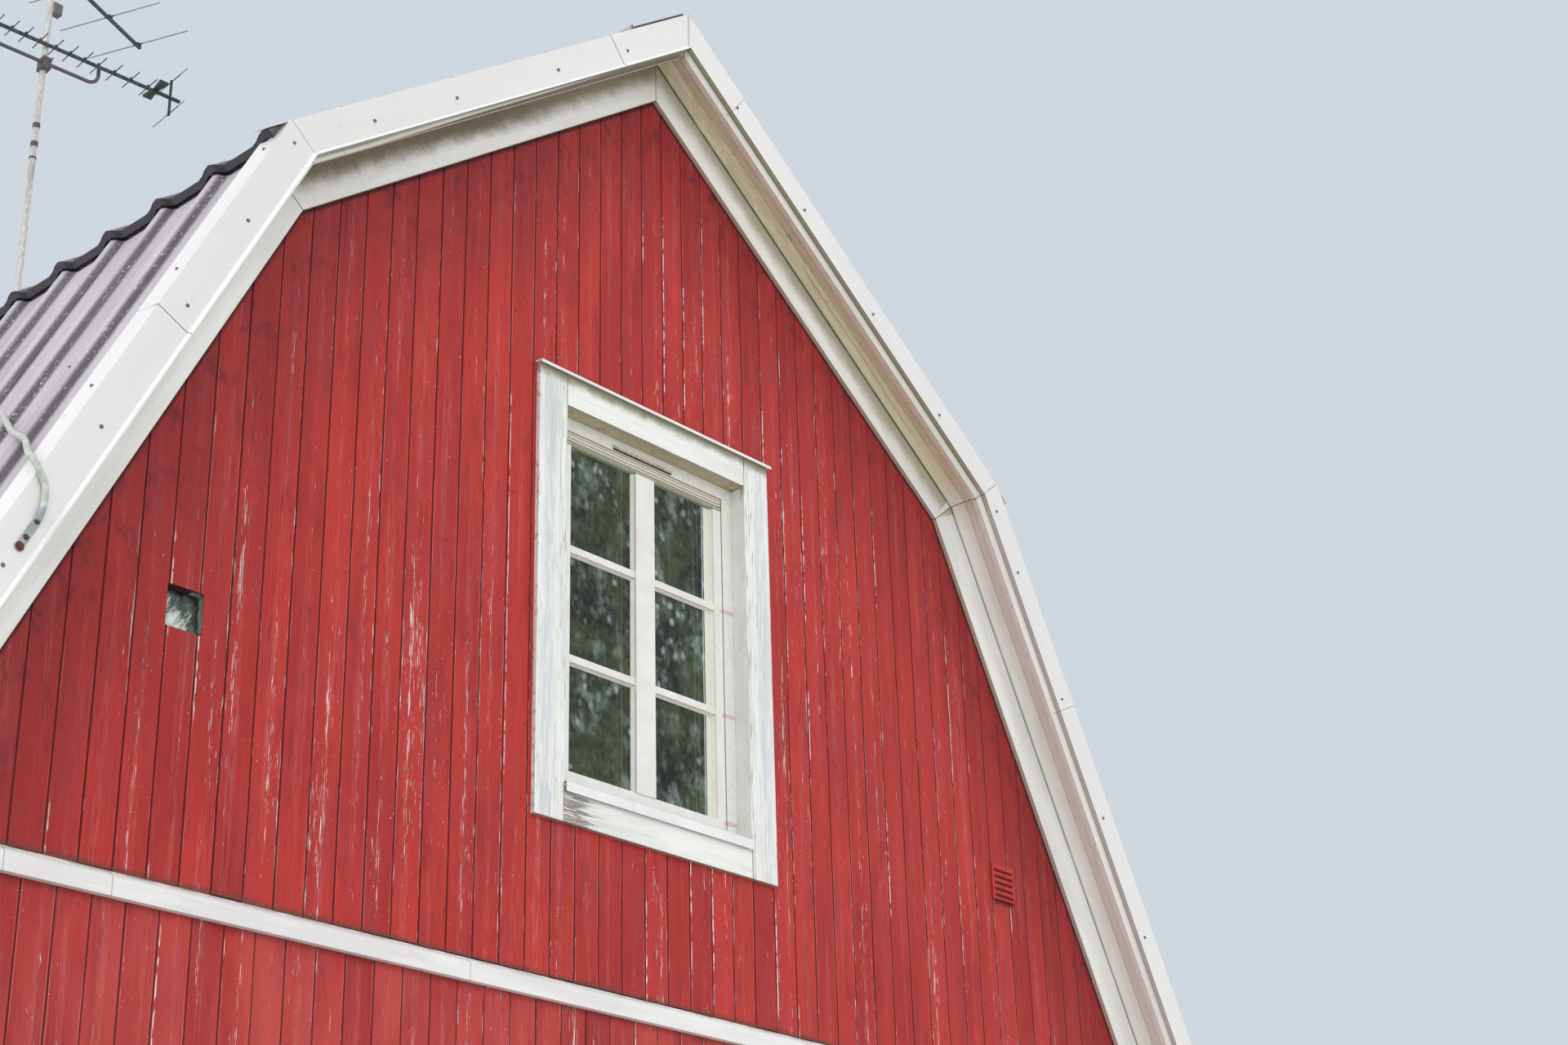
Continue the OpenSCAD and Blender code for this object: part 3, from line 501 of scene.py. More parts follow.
def worn_white(grain, wear, body=(231, 232, 229), grey=0.3, flakes=(11, 120, 120)):
    """White paint on wood. Grain's X runs along the fibres, and wear, 0 to 1, is how much has come off."""
    wear = grain.math("ADD", wear, 0)
    cloud = grain.noise((1.3, 8, 8), 4, 0.6)
    dirt = grain.noise((2.6, 70, 70), 4, 0.65, 11)
    fibre = grain.noise((9, 380, 380), 3, 0.6, 5)
    flake = grain.noise(flakes, 5, 0.65, 70)
    colour = cloud.rise(0.35, 0.65).mix([round(part * 0.93) for part in body], body)
    colour = (dirt.rise(0.5, 0.75) * grey).mix(colour, (172, 172, 176))
    bare = (flake + wear * 0.34).rise(0.80, 0.84)
    thin = (flake + wear * 0.34).rise(0.70, 0.82)
    colour = (thin * 0.5).mix(colour, (178, 174, 168))
    colour = (bare * 0.85).mix(colour, fibre.rise(0.35, 0.65).mix((112, 98, 86), (172, 160, 146)))
    crack = grain.noise((1.1, 46, 46), 2, 0.5, 31).near(0.5, 0.007, 0.0) * wear.rise(0.15, 0.6)
    colour = (crack * 0.7).mix(colour, (110, 102, 94))
    relief = cloud * 0.4 + fibre * 0.3 - bare * 0.8 - crack
    return colour, fibre.between(0.42, 0.62) + bare * 0.25, relief


belt_white, spot = finish("white_paint_belt")
x, _, z = spot.split()
colour, rough, relief = worn_white(spot, 0.12, (233, 231, 229), 0.25)
for butt_joint in (-2.617, -2.264, -0.9, 0.75, 2.1):
    colour = (x.near(butt_joint, 0.0016, 0.0006) * 0.75).mix(colour, (88, 78, 72))
ledge = z.rise(3.632, 3.648) * spot.noise((14, 60, 60), 4, 0.6).rise(0.35, 0.6)
colour = (ledge * 0.55).mix(colour, (120, 92, 82))
coat(belt_white, colour, rough, relief, 0.001)
dress(belt_white, "belt_boards")

# Corner boards: two planed boards at each corner, butted and nailed, running from plinth to frieze.
corner_white, spot = finish("white_paint_corners")
x, y, z = spot.split()
foot = z.rise(0.9, 0.3)
colour, rough, relief = worn_white(spot.place(z, x, y), foot * 0.5 + 0.25)
colour = (foot * 0.2).mix(colour, (150, 146, 136))
coat(corner_white, colour, rough, relief, 0.001)
dress(corner_white, "corner_boards")

# Frieze: boards along both slopes of each gable, mitred at ridge and knee. Painted white, and dark with
# mildew on the upper slopes where the soffit keeps rain off, most of all on the left one.
frieze_white, spot = finish("white_paint_frieze")


def mitre(spot):
    """Distance from the nearest plane in which the roof's boards and sheets meet at ridge and knee."""
    x, _, z = spot.split()
    return abs(x).least(abs(down_slope(abs(x), z, knee_x, knee_z, (up_a + low_a) / 2)[0]))


def mitred(spot, colour, share=0.85):
    """The colour with the dark mitre joints of boards drawn on it."""
    return (mitre(spot).rise(0.0026, 0.0014) * share).mix(colour, (52, 50, 44))


def left_side(spot):
    """1 left of the ridge and 0 right of it, as seen from outside each gable."""
    x, y, z = spot.split()
    return (x * (y > 0).between(1, -1)).rise(0.04, -0.04)


s, d, y = down_roof(spot)
left, upper = left_side(spot), s < up_len
grain = spot.place(s, d, y)
colour, rough, relief = worn_white(grain, 0.12, (239, 240, 235), 0.15)
runs = spot.noise((110, 110, 60), 5, 0.75, 13)
cloud = spot.noise(9, 5, 0.6)
mildew = (d * 7 + runs * 0.3 + cloud * 0.5 - s.rise(0.9, 0.1) * 0.05).rise(0.66, 1.20) * upper
heavy = s.rise(0.2, 1.2).mix((134, 128, 98), (112, 101, 78))
light = s.rise(0.2, 1.2).mix((172, 166, 138), (166, 159, 131))
colour = (mildew * left.between(0.75, 0.93)).mix(colour, left.mix(light, heavy))
speck = spot.noise(120, 4, 0.75)
colour = (speck.rise(0.57, 0.66) * mildew * 0.5).mix(colour, (66, 60, 44))
colour = (speck.rise(0.36, 0.28) * mildew * 0.4).mix(colour, (196, 190, 166))
# the lower edge rubbed and brown below, painted shade in the corner under the soffit, and the mitre joints
rubbed = d.rise(0.012, 0.003) * grain.noise((14, 1, 1)).rise(0.35, 0.6)
colour = (rubbed * 0.4).mix(colour, (236, 214, 204))
colour = (d.rise(0.0010, 0.0003) * 0.85).mix(colour, (176, 150, 138))
colour = (d.rise(0.1385, 0.1415) * 0.9).mix(colour, (50, 44, 34))
colour = mitred(spot, colour)
coat(frieze_white, colour, rough, relief, 0.001)
dress(frieze_white, "front_frieze", "back_frieze")

# Soffit: two planed boards under each verge with an open joint, and the boards under the eaves. The
# off-white paint has yellowed with mildew on the upper slopes, and splits and flakes beside the joint.
soffit_white, spot = finish("soffit_paint")
s, d, y = down_roof(spot)
out = abs(y) - half_l
grain = spot.place(s, out, d)
worn, rough, relief = worn_white(grain, s.rise(2.4, 1.2) * 0.3 + 0.12, (216, 213, 210), 0.1)
high = s.rise(up_len + 0.12, up_len - 0.12)
outer = out.rise(0.0975, 0.0995)
inner_share, outer_share = out.rise(0.02, 0.09), out.rise(0.10, 0.15)
clean = outer.mix(inner_share.mix((236, 233, 229), (224, 218, 211)),
                  outer_share.mix((210, 196, 190), (228, 219, 215)))
mildewed = outer.mix(inner_share.mix((230, 226, 194), (222, 208, 178)),
                     outer_share.mix((200, 184, 155), (212, 198, 174)))
cloud = grain.noise((4, 16, 16), 5, 0.65)
colour = high.mix(clean, mildewed)
colour = (cloud.rise(0.5, 0.75) * 0.35).mix(colour, high.mix((206, 199, 192), (188, 170, 136)))
colour = (cloud.rise(0.48, 0.3) * 0.3).mix(colour, high.mix((241, 239, 235), (234, 224, 198)))
moss = s.rise(1.5, 0.0) * (1 - outer) * grain.noise((8, 30, 30), 4, 0.7).rise(0.42, 0.62)
colour = (moss * 0.3).mix(colour, (156, 146, 112))
fleck = spot.noise(150, 4, 0.75)
colour = (fleck.rise(0.58, 0.68) * high.between(0.2, 0.6)).mix(colour, (104, 90, 68))
inner_edge = out.rise(0.032, 0.024) * grain.noise((9, 30, 30), 4, 0.65).rise(0.3, 0.5).between(0.45, 1.0)
colour = (inner_edge * high.between(0.35, 0.85)).mix(colour, (76, 76, 54))
# a long drying crack, and short ones across it where the paint has lifted
waver = grain.noise((3, 1, 1), 4, 0.65) * 0.05 + 0.046
crack = out.near(waver, 0.0016, 0.0005) * s.rise(0.9, 1.0) * s.rise(1.9, 1.75)
stars = spot.node("TexVoronoi", {"distance": "CHEBYCHEV"}, {"Vector": grain, "Scale": 5}).rise(0.13, 0.05)
star = stars * grain.noise(26, 3, 0.6).near(0.5, 0.02, 0.006) * s.rise(3.2, 0.2).rise(0.3, 0.5)
colour = (crack.most(star) * 0.8).mix(colour, (66, 54, 42))
colour = mitred(spot, colour, 0.8)
patches = spot.place(s * 3, out * 40, d).noise((3, 1, 1), 4, 0.6).rise(0.6, 0.7)
colour = (patches * 0.25).mix(colour, worn)
coat(soffit_white, colour, rough, relief - crack, 0.002)
dress(soffit_white, "front_soffit", "back_soffit")
eave_white, spot = finish("white_paint_eaves")
x, y, z = spot.split()
colour, rough, relief = worn_white(spot.place(y, x, z), 0.2)
coat(eave_white, colour, rough, relief, 0.001)
dress(eave_white, "eave_boards")

# Soffit flakes: thin scales of paint that have come loose beside the joint and curl downwards. They are of
# the soffit's own paint.


def roof_frame(part, side, s, d, y):
    """A frame on a roof slope: X down the slope, Z square to it. Part 0 is the upper slope, 1 the lower."""
    x, z, angle = slopes[part]
    placed = move(x, y, z) @ turn(math.degrees(angle), "Y") @ move(s, 0, d)
    return placed if side > 0 else turn(180, "Z") @ move(0, -2 * y, 0) @ placed


def repeat(part, places):
    """The same part at each place, in one bmesh."""
    mesh = bpy.data.meshes.new("part")
    bmesh.ops.recalc_face_normals(part, faces=part.faces)
    part.to_mesh(mesh)
    part.free()
    bm = bmesh.new()
    for place in places:
        before = len(bm.verts)
        bm.from_mesh(mesh)
        bm.verts.ensure_lookup_table()
        bmesh.ops.transform(bm, matrix=place, verts=bm.verts[before:])
    bpy.data.meshes.remove(mesh)
    return bm


bm = bmesh.new()
bmesh.ops.create_grid(bm, x_segments=8, y_segments=3, size=0.5)
for vert in bm.verts:
    along, across = vert.co.x + 0.5, vert.co.y
    bend, radius = along * 1.5, 0.030 / 1.5
    sag = radius * (1 - math.cos(bend)) + 0.0006
    vert.co = (radius * math.sin(bend), across * (0.013 - 0.006 * along), -sag)
bmesh.ops.solidify(bm, geom=bm.faces[:], thickness=0.0006)
places = []
luck = random.Random("flakes")
loose = ((0, 1, 1.93, 0.100), (0, 1, 1.90, 0.086), (0, 1, 1.12, 0.070), (0, 1, 0.33, 0.060),
         (0, 1, 0.36, 0.120), (0, -1, 0.55, 0.075), (0, -1, 1.45, 0.105), (1, -1, 0.62, 0.095))
for gable, (part, side, s, out) in itertools.product((1, -1), loose):
    at = roof_frame(part, side * gable, s, 0.1449, -gable * (half_l + out))
    spin = Matrix.Rotation(luck.uniform(0, 6.3), 4, "Z")
    places.append(at @ spin @ Matrix.Scale(luck.uniform(0.7, 1.2), 4))
piece("soffit_flakes", repeat(bm, places), soffit_white, 40)

# Barge boards: they close the soffit's outer edge under the sheet flashing. Painted white, with dirt and
# painted shade in the gap below the flashing; the upper left one runs slack, so the soffit's brown end shows
# below it, with painted shade at its foot.
barge_white, spot = finish("white_paint_barge")
s, d, y = down_roof(spot)
out = abs(y) - half_l
grain = spot.place(s, d, out)
colour, rough, relief = worn_white(grain, 0.2, (244, 243, 238), 0.15)
left, high = left_side(spot), s.rise(up_len + 0.1, up_len - 0.1)
# dirt and painted shade under the flashing; where the slack board shows the soffit's brown end, painted shade
# along its lower edge
slack = (1.9 - s).most(0) * s.rise(0.9, 1.5).between(0.0125, 0.0165)
strip = (d - slack * 0.7 + grain.noise((5, 40, 40), 5, 0.7) * 0.008).rise(0.1215, 0.1355)
strip = strip * left.between(0.25, 1.0) * s.rise(1.0, 2.1).between(0.35, 1.0)
colour = strip.mix(colour, high.mix((172, 172, 170), (118, 114, 98)))
brown = (d - slack - 0.110).rise(0.0012, -0.0012) * (s < 1.86) * left
colour = (brown * 0.9).mix(colour, d.rise(0.111, 0.133).mix((92, 76, 66), (134, 120, 110)))
colour = (brown * d.rise(0.1135, 0.1122) * s.rise(1.75, 1.4) * 0.8).mix(colour, (52, 43, 36))
# the underside, and the butt and mitre joints
under = d.rise(0.1115, 0.1102)
flaked = grain.noise((26, 60, 60), 4, 0.7).rise(0.56, 0.64) * under
colour = (under * 0.9).mix(colour, high.mix((216, 208, 206), (208, 190, 172)))
colour = (flaked * 0.35).mix(colour, (160, 132, 114))
for butt_joint, here in ((2.051, left), (0.617, 1 - left)):
    colour = (s.near(butt_joint, 0.0018, 0.0008) * here * 0.8).mix(colour, (84, 78, 70))
colour = mitred(spot, colour)
coat(barge_white, colour, rough, relief, 0.001)
dress(barge_white, "front_barge_boards", "back_barge_boards")

# Windows: pine frames with side-hung sashes, painted glossy cream white. A moulded bead holds each pane,
# and a thin slot with a hood in the frame's head lets air in.
attic_sill, ground_sill, sash_r = 4.351, 1.29, 0.430
window_white, spot = finish("window_paint", Coat_Weight=0.15, Coat_Roughness=0.25)
cloud = spot.noise(5, 4, 0.6)
fine = spot.noise(160, 3, 0.6)
dust = spot.noise(22, 5, 0.7)
colour = cloud.rise(0.35, 0.65).mix((219, 218, 210), (228, 227, 223))
colour = (dust.rise(0.56, 0.72) * 0.35).mix(colour, (186, 180, 156))


def over_sill(z):
    """Height over the window's sill, in either storey."""
    return z - (z > 3.6).between(ground_sill, attic_sill)


def sash_lines(spot, colour):
    """Dirt and painted shade in the steps of each sash's head, and dirt in the gap round the sashes."""
    x, y, z = spot.split()
    v = over_sill(z)
    u = (abs(y) > half_l - 0.2).between(abs(y.fold(side_pitch)), abs(x.fold(gable_pitch)))
    sash = (u < sash_r + 0.001) * (v > 0.045)
    steps = ((1.4290, 1.4372, 0.55, (190, 178, 154)), (1.4235, 1.4290, 0.75, (166, 150, 128)),
             (1.4083, 1.4185, 0.85, (164, 146, 130)), (1.3955, 1.4042, 0.85, (106, 104, 68)),
             (1.3890, 1.3955, 0.75, (170, 176, 132)), (1.3840, 1.3890, 0.85, (86, 92, 58)))
    for low, high, share, tint in steps:
        step = v.rise(low - 0.0006, low + 0.0006) * v.rise(high + 0.0006, high - 0.0006) * sash
        colour = (step * share).mix(colour, tint)
    gap = abs((u - sash_r).most(abs(v - 0.741) - 0.695)).rise(0.0016, 0.0007)
    return (gap * 0.75).mix(colour, (98, 88, 74))


# mildew on the underside of the lining above, and a painted shade line in its corner
colour, v = sash_lines(spot, colour), over_sill(spot.split()[2])
soffit = v.rise(1.4884, 1.4890)
stain = spot.noise(26, 5, 0.75)
colour = (soffit * stain.rise(0.2, 0.45) * 0.9).mix(colour, (166, 154, 108))
colour = (soffit * stain.rise(0.56, 0.64) * 0.6).mix(colour, (96, 90, 58))
colour = (v.rise(1.4862, 1.4874) * (1 - soffit) * 0.85).mix(colour, (76, 68, 40))
coat(window_white, colour, fine.between(0.3, 0.45), fine * 0.3 + cloud * 0.5, 0.0006)
pane_x, pane_z = (0.388, 0.050), (0.087, 1.393)
row_h = (pane_z[1] - pane_z[0]) / 3
bead_white, spot = finish("window_paint_beads", Coat_Weight=0.15, Coat_Roughness=0.25)
row = (over_sill(spot.split()[2]) - pane_z[0]) / row_h
cloud = spot.noise(30, 4, 0.6)
colour = cloud.rise(0.35, 0.65).mix((218, 218, 209), (228, 227, 223))
# pink below each glazing bar: painted red reflection of the boarding
below_bar = (row - row.floor()).rise(0.955, 0.965) * (row < 2.9)
colour = (below_bar * 0.6).mix(colour, (196, 156, 158))
coat(bead_white, sash_lines(spot, colour), cloud.between(0.3, 0.45), cloud, 0.0006)
dress(window_white, *[wall + "_window_frames" for wall in ("front", "back", "left", "right")])
windows = [wall @ move(x, 0, sill) for wall in (on_front, on_back)
           for x, sill in ((0, attic_sill), (-gable_pitch, ground_sill), (gable_pitch, ground_sill))]
windows += [on_left @ move(y, 0, ground_sill) for y in (-side_pitch, 0, side_pitch)]
windows += [on_right @ move(y, 0, ground_sill) for y in (-side_pitch, side_pitch)]


def bead(bm, x0, x1, z0, z1, foot, top, back, front):
    """A mitred bead inside a rectangle: foot wide at its back, top wide at its front."""
    grid = bmesh.ops.create_grid(bm, x_segments=3, y_segments=3, size=1.5)["verts"]
    faces = list({face for vert in grid for face in vert.link_faces})
    middle = [face for face in faces if face.calc_center_median().length < 0.1]
    bmesh.ops.delete(bm, geom=middle, context="FACES_ONLY")
    ring = [face for face in faces if face.is_valid]
    edges = list({edge for face in ring for edge in face.edges})
    made = bmesh.ops.extrude_face_region(bm, geom=ring + edges, use_keep_orig=True)["geom"]
    raised = {part for part in made if isinstance(part, bmesh.types.BMVert)}
    for vert in list(grid) + list(raised):
        x, z = vert.co.x, vert.co.y
        width, depth = (top, front) if vert in raised else (foot, back)
        in_x, in_z = (0 if abs(x) > 1 else width), (0 if abs(z) > 1 else width)
        vert.co = (x0 + in_x if x < 0 else x1 - in_x, depth, z0 + in_z if z < 0 else z1 - in_z)


bm = bmesh.new()
for side, row in itertools.product((-1, 1), range(3)):
    x0, x1 = sorted((side * pane_x[0], side * pane_x[1]))
    z0 = pane_z[0] + row * row_h + (0.014 if row else 0)
    z1 = pane_z[0] + (row + 1) * row_h - (0.014 if row < 2 else 0)
    bead(bm, x0 - 0.0005, x1 + 0.0005, z0 - 0.0005, z1 + 0.0005, 0.0095, 0.004, 0.0772, 0.0675)
# the sash's moulded outer edge, and the stop on the frame round it
bead(bm, -sash_r, sash_r, 0.046, 1.436, 0.011, 0.007, 0.0595, 0.0555)
bead(bm, -0.484, 0.484, 0.001, 1.489, 0.054, 0.051, 0.0535, 0.0500)
piece("window_beads", repeat(bm, windows), bead_white)
bm = bmesh.new()
hood = block(bm, (-0.18, 0.0440, 1.4470), (0.144, 0.0505, 1.4580))
plane_off(bm, [edge for edge in hood if max(vert.co.y for vert in edge.verts) < 0.046], 0.0025, 2)
hood_paint, spot = finish("vent_hood_paint")
grime = spot.noise(60, 4, 0.7)
coat(hood_paint, grime.rise(0.35, 0.65).mix((160, 146, 118), (206, 198, 172)), grime.between(0.5, 0.65))
piece("window_vent_hoods", repeat(bm, windows), hood_paint, 30)
slot_dark, spot = finish("vent_slot_shadow")
coat(slot_dark, spot.noise(90, 3).mix((34, 32, 26), (58, 54, 44)),
     spot.noise(40, 2).between(0.8, 0.95))
bm = bmesh.new()
block(bm, (-0.176, 0.0480, 1.4400), (0.140, 0.0502, 1.4470))
piece("window_vent_slots", repeat(bm, windows), slot_dark)

# Glass: sealed double panes. Seen against a dark room they are deep green, mottled by a painted reflection of
# trees with soft pale spots, and with faint upright lines and the inner frame's pale edge behind each
# right-hand pane.


def pane_paint(name, axis, pitch, turned):
    """Glass of one wall whose windows lie a pitch apart along X or Y, with a painted reflection of trees."""
    made, spot = finish(name, Specular_IOR_Level=0.35)
    parts = spot.split()
    run, z = parts[axis] * turned, parts[2]
    u = run.fold(pitch)
    flat = spot.place(run, 0, z)
    # a painted reflection of trees: dark boughs and leaves, pale blurs between them and haze
    bough = flat.noise((5, 1, 3.2), 5, 0.65)
    leaf = flat.noise((34, 1, 26), 3, 0.6)
    colour = (bough * 0.65 + leaf * 0.35).rise(0.38, 0.66).mix((10, 16, 8), (66, 76, 44))
    clusters = flat.noise((4.5, 1, 3.2), 3, 0.5, 9).rise(0.43, 0.56)
    shift = flat.noise((9, 1, 9), 2, 0.5, 2) * 0.04
    warped = spot.place(run + shift, 0, z * 0.8 + shift)
    blurs = flat.node("TexVoronoi", {}, {"Vector": warped, "Scale": 27})
    lit = Socket(blurs.socket.node.outputs["Color"]).split()[0]
    pale = blurs.rise(0.52, 0.02) * clusters * lit.rise(0.35, 0.9)
    haze = flat.noise((15, 1, 10), 4, 0.65, 19).rise(0.46, 0.68) * clusters.between(0.15, 0.6)
    colour = haze.mix(colour, (134, 148, 140))
    colour = (pale * 0.8).mix(colour, (170, 183, 186))
    # upright lines, and the inner frame's edge beside the right pane
    for line, wide, share in ((-0.105, 0.0040, 0.22), (-0.125, 0.0024, 0.18), (0.290, 0.0040, 0.18),
                              (0.312, 0.0024, 0.2)):
        colour = (u.near(line, wide, wide * 0.2) * share).mix(colour, (150, 166, 136))
    colour = (u.near(0.341, 0.0034, 0.0020) * 0.7).mix(colour, (188, 206, 214))
    colour = (u.rise(0.3485, 0.3500) * 0.95).mix(colour, (222, 222, 204))
    coat(made, colour, bough.between(0.03, 0.05))
    return made


for side, axis, pitch, turned in (("front", 0, gable_pitch, 1), ("back", 0, gable_pitch, -1),
                                  ("left", 1, side_pitch, -1), ("right", 1, side_pitch, 1)):
    dress(pane_paint("glass_" + side, axis, pitch, turned), side + "_window_glass")

# Casings: boards nailed round each window, side boards running through. Their paint is the most worn of
# the house: grey with bare fibres down the sides, peeled to brown at the lower ends.
casing_x = 0.485


def casing_paint(name, axis, pitch, half):
    """Worn white paint on the casings of the walls half away from the middle, windows a pitch apart."""
    made, spot = finish(name)
    parts = spot.split()
    u, v, out = parts[axis].fold(pitch), over_sill(parts[2]), abs(parts[1 - axis]) - half
    upright = abs(u) > casing_x
    grain = spot.place(upright.between(u, v), upright.between(v, u), out + upright * 5)
    inner = abs(u).rise(0.545, 0.49) * u.rise(0.0, 0.2) * upright
    outer = abs(u).rise(0.58, 0.62) * upright
    low_end = (1 - upright) * v.rise(0.0, -0.02) * (u.rise(-0.2, -0.46).most(u.rise(0.30, 0.48) * 0.45))
    flank = upright * grain.noise((0.7, 9, 9), 3, 0.5, 17).rise(0.38, 0.6)
    wear = (inner * 0.62).most(low_end).most(flank * 0.5).most(outer * 0.4).most(upright * 0.25 + 0.1)
    colour, rough, relief = worn_white(grain, wear, (233, 234, 228), 0.35, (9, 190, 190))
    # along the side boards a blue-grey weathered band, bare streaks and a ragged outer edge
    fibres = grain.noise((9, 110, 110), 4, 0.65).rise(0.36, 0.56)
    band = abs(u).near(grain.noise((1.2, 1, 1), 3, 0.6) * 0.03 + 0.557, 0.046, 0.012) * fibres * upright
    streaks = grain.noise((2.5, 200, 200), 4, 0.7, 81).rise(0.62, 0.70) * upright
    ragged = abs(u).rise(0.6200, 0.6240) * grain.noise((40, 60, 60), 4, 0.7).rise(0.54, 0.62)
    colour = (band * 0.7).mix(colour, (194, 199, 204))
    colour = (streaks * 0.35).mix(colour, (160, 154, 148))
    colour = (ragged * 0.6).mix(colour, (140, 88, 84))
    # soot and algae under the drip cap and on the lining boards, and painted shade under the drip cap
    soot_and_shade = (v - 1.600 + spot.noise(9, 4, 0.7) * 0.05 + grain.noise(30, 4) * 0.02).rise(0.0, 0.04)
    lining = (out < -0.001).most(v.rise(1.4906, 1.4902) * (1 - upright)) * v.rise(1.4, 1.485)
    lining = lining * spot.noise(22, 5, 0.75).rise(0.2, 0.5)
    speck = spot.noise(130, 4, 0.75).rise(0.56, 0.66) * (soot_and_shade * 0.7 + lining)
    colour = (soot_and_shade * 0.85).mix(colour, (134, 128, 90))
    colour = (lining * 0.85).mix(colour, (152, 140, 104))
    colour = (speck * 0.6).mix(colour, (70, 66, 48))
    # butt joints of the boards, and the bare lower edge
    joint = abs(u).near(casing_x + 0.0015, 0.0016, 0.0007) * ((v > 1.4895) + (v < -0.001))
    colour = (joint * 0.85).mix(colour, (60, 56, 50))
    bottom = (v + 0.1435 - grain.noise((30, 30, 1), 4, 0.7) * 0.006).rise(0.0, -0.002)
    colour = (bottom * 0.85).mix(colour, (140, 102, 86))
    coat(made, colour, rough, relief, 0.0015)
    return made


gable_casing = casing_paint("white_paint_gable_casings", 0, gable_pitch, half_l)
side_casing = casing_paint("white_paint_side_casings", 1, side_pitch, half_w)
dress(gable_casing, "front_window_casings", "back_window_casings")
dress(side_casing, "left_window_casings", "right_window_casings")

# Drip caps and sills: folded white-coated sheet over each head casing and below each sash, dusty.
white_sheet, spot = finish("white_coated_sheet", Coat_Weight=0.2, Coat_Roughness=0.3)
cloud = spot.noise(3, 4, 0.6)
grime = spot.noise(14, 5, 0.7)
colour = cloud.rise(0.35, 0.65).mix((222, 223, 222), (233, 234, 233))
colour = (grime.rise(0.56, 0.75) * 0.3).mix(colour, (176, 172, 162))
coat(white_sheet, colour, cloud.between(0.28, 0.42), cloud, 0.0015)
dress(white_sheet, "window_flashings")

# Roof sheets: rolled steel with a wave every 300 mm in a grey-violet coating, chalky and thick with pale
# specks. Sheets lap beside a roll, dark filler closes the upper sheets' ends, and screws hold the pans.
wave_pitch, first_roll, sheet_face = 0.3, -half_l + 0.154, 0.2402
roof_grey, spot = finish("roof_sheet_coating")
s, _, y = down_roof(spot)
x, _, z = spot.split()
s_up, d_up = down_slope(abs(x), z, *slopes[0])
plan = spot.place(s, y, 0)
cloud = plan.noise((1.1, 5, 1), 5, 0.6)
run = plan.noise((1.4, 30, 1), 4, 0.6)
speck = plan.noise((85, 85, 1), 3, 0.7)
spots = plan.node("TexVoronoi", {}, {"Vector": spot.place(s * 0.35, y, 0), "Scale": 95})
dots = spots.rise(0.30, 0.15) * Socket(spots.socket.node.outputs["Color"]).split()[0].rise(0.66, 0.72)
# painted shade on the rolls' flanks, most on the side turned from the gable
wave = (y - first_roll) / wave_pitch
roll = wave.fold(1)
flank = roll.rise(-0.27, -0.19) * roll.rise(-0.05, -0.13)
flank = flank + roll.rise(0.25, 0.2) * roll.rise(0.1, 0.16) * 0.4
colour = cloud.rise(0.3, 0.7).mix((168, 160, 167), (190, 183, 189))
colour = (run.rise(0.5, 0.7) * 0.35).mix(colour, (140, 132, 140))
colour = (flank * run.between(0.85, 1.1)).mix(colour, (76, 66, 78))
patch = plan.noise((4, 4, 1), 3).rise(0.42, 0.6)
pale = (speck.rise(0.56, 0.66) * 0.45 * patch).most(dots * patch.between(0.3, 0.75))
colour = pale.mix(colour, (216, 213, 216))
# laps beside each third roll, with debris along them, and at the knee the dark filler and painted shade on
# the upper sheets' ends
lap = ((wave - 2.0) / 3).fold(1)
side_lap = lap.near(-0.065, 0.0042, 0.0018)
debris = plan.noise((30, 120, 1), 4, 0.7).rise(0.5, 0.62) * lap.near(-0.055, 0.03, 0.01)
colour = (side_lap * 0.9).mix(colour, (30, 26, 26))
colour = (debris * 0.5).mix(colour, (112, 84, 64))
sheet_end = up_len + (sheet_face + 0.0001) * math.tan((low_a - up_a) / 2) + 0.085
ended = (s_up > sheet_end - 0.0006).most((s_up > sheet_end - 0.0155) * (d_up < sheet_face))
colour = ((s_up < sheet_end + 0.0006) * ended * 0.9).mix(colour, (28, 26, 34))
coat(roof_grey, colour, speck.between(0.5, 0.7), cloud * 0.5 + speck * 0.3 - side_lap, 0.001)
dress(roof_grey, "roof_sheets_left", "roof_sheets_right", "ridge_cap")
screw_steel, spot = finish("screw_steel", Metallic=0.5)
tarnish = spot.noise(300, 3, 0.6)
coat(screw_steel, tarnish.mix((104, 104, 103), (136, 136, 135)), tarnish.between(0.3, 0.5))


def hex_screw(head=0.0045, washer=0.0075):
    """A hexagonal self-drilling screw on its washer, seated on Z = 0 and standing along Z."""
    bm = bmesh.new()
    rod(bm, move(0, 0, 0.0008), washer, 0.0016, 12, washer * 0.82)
    rod(bm, move(0, 0, 0.0036), head, 0.0042, 6, head * 0.92)
    return bm


pan_d = 0.2462
screw_rows = ((0, 0.35), (0, 1.30), (0, 2.22), (1, 0.98), (1, 1.90), (1, 2.78))
pan_screws = []
for side, wave_at in itertools.product((-1, 1), range(0, 27, 2)):
    y = first_roll + wave_pitch * wave_at + 0.105
    for part, s in screw_rows:
        at_mast = side < 0 and part == 0 and abs(y + 0.05) < 0.12 and s < 1
        if y < half_l - 0.1 and not at_mast:
            pan_screws.append(roof_frame(part, side, s, pan_d, y))
piece("roof_screws", repeat(hex_screw(0.004, 0.0065), pan_screws), screw_steel, 30)

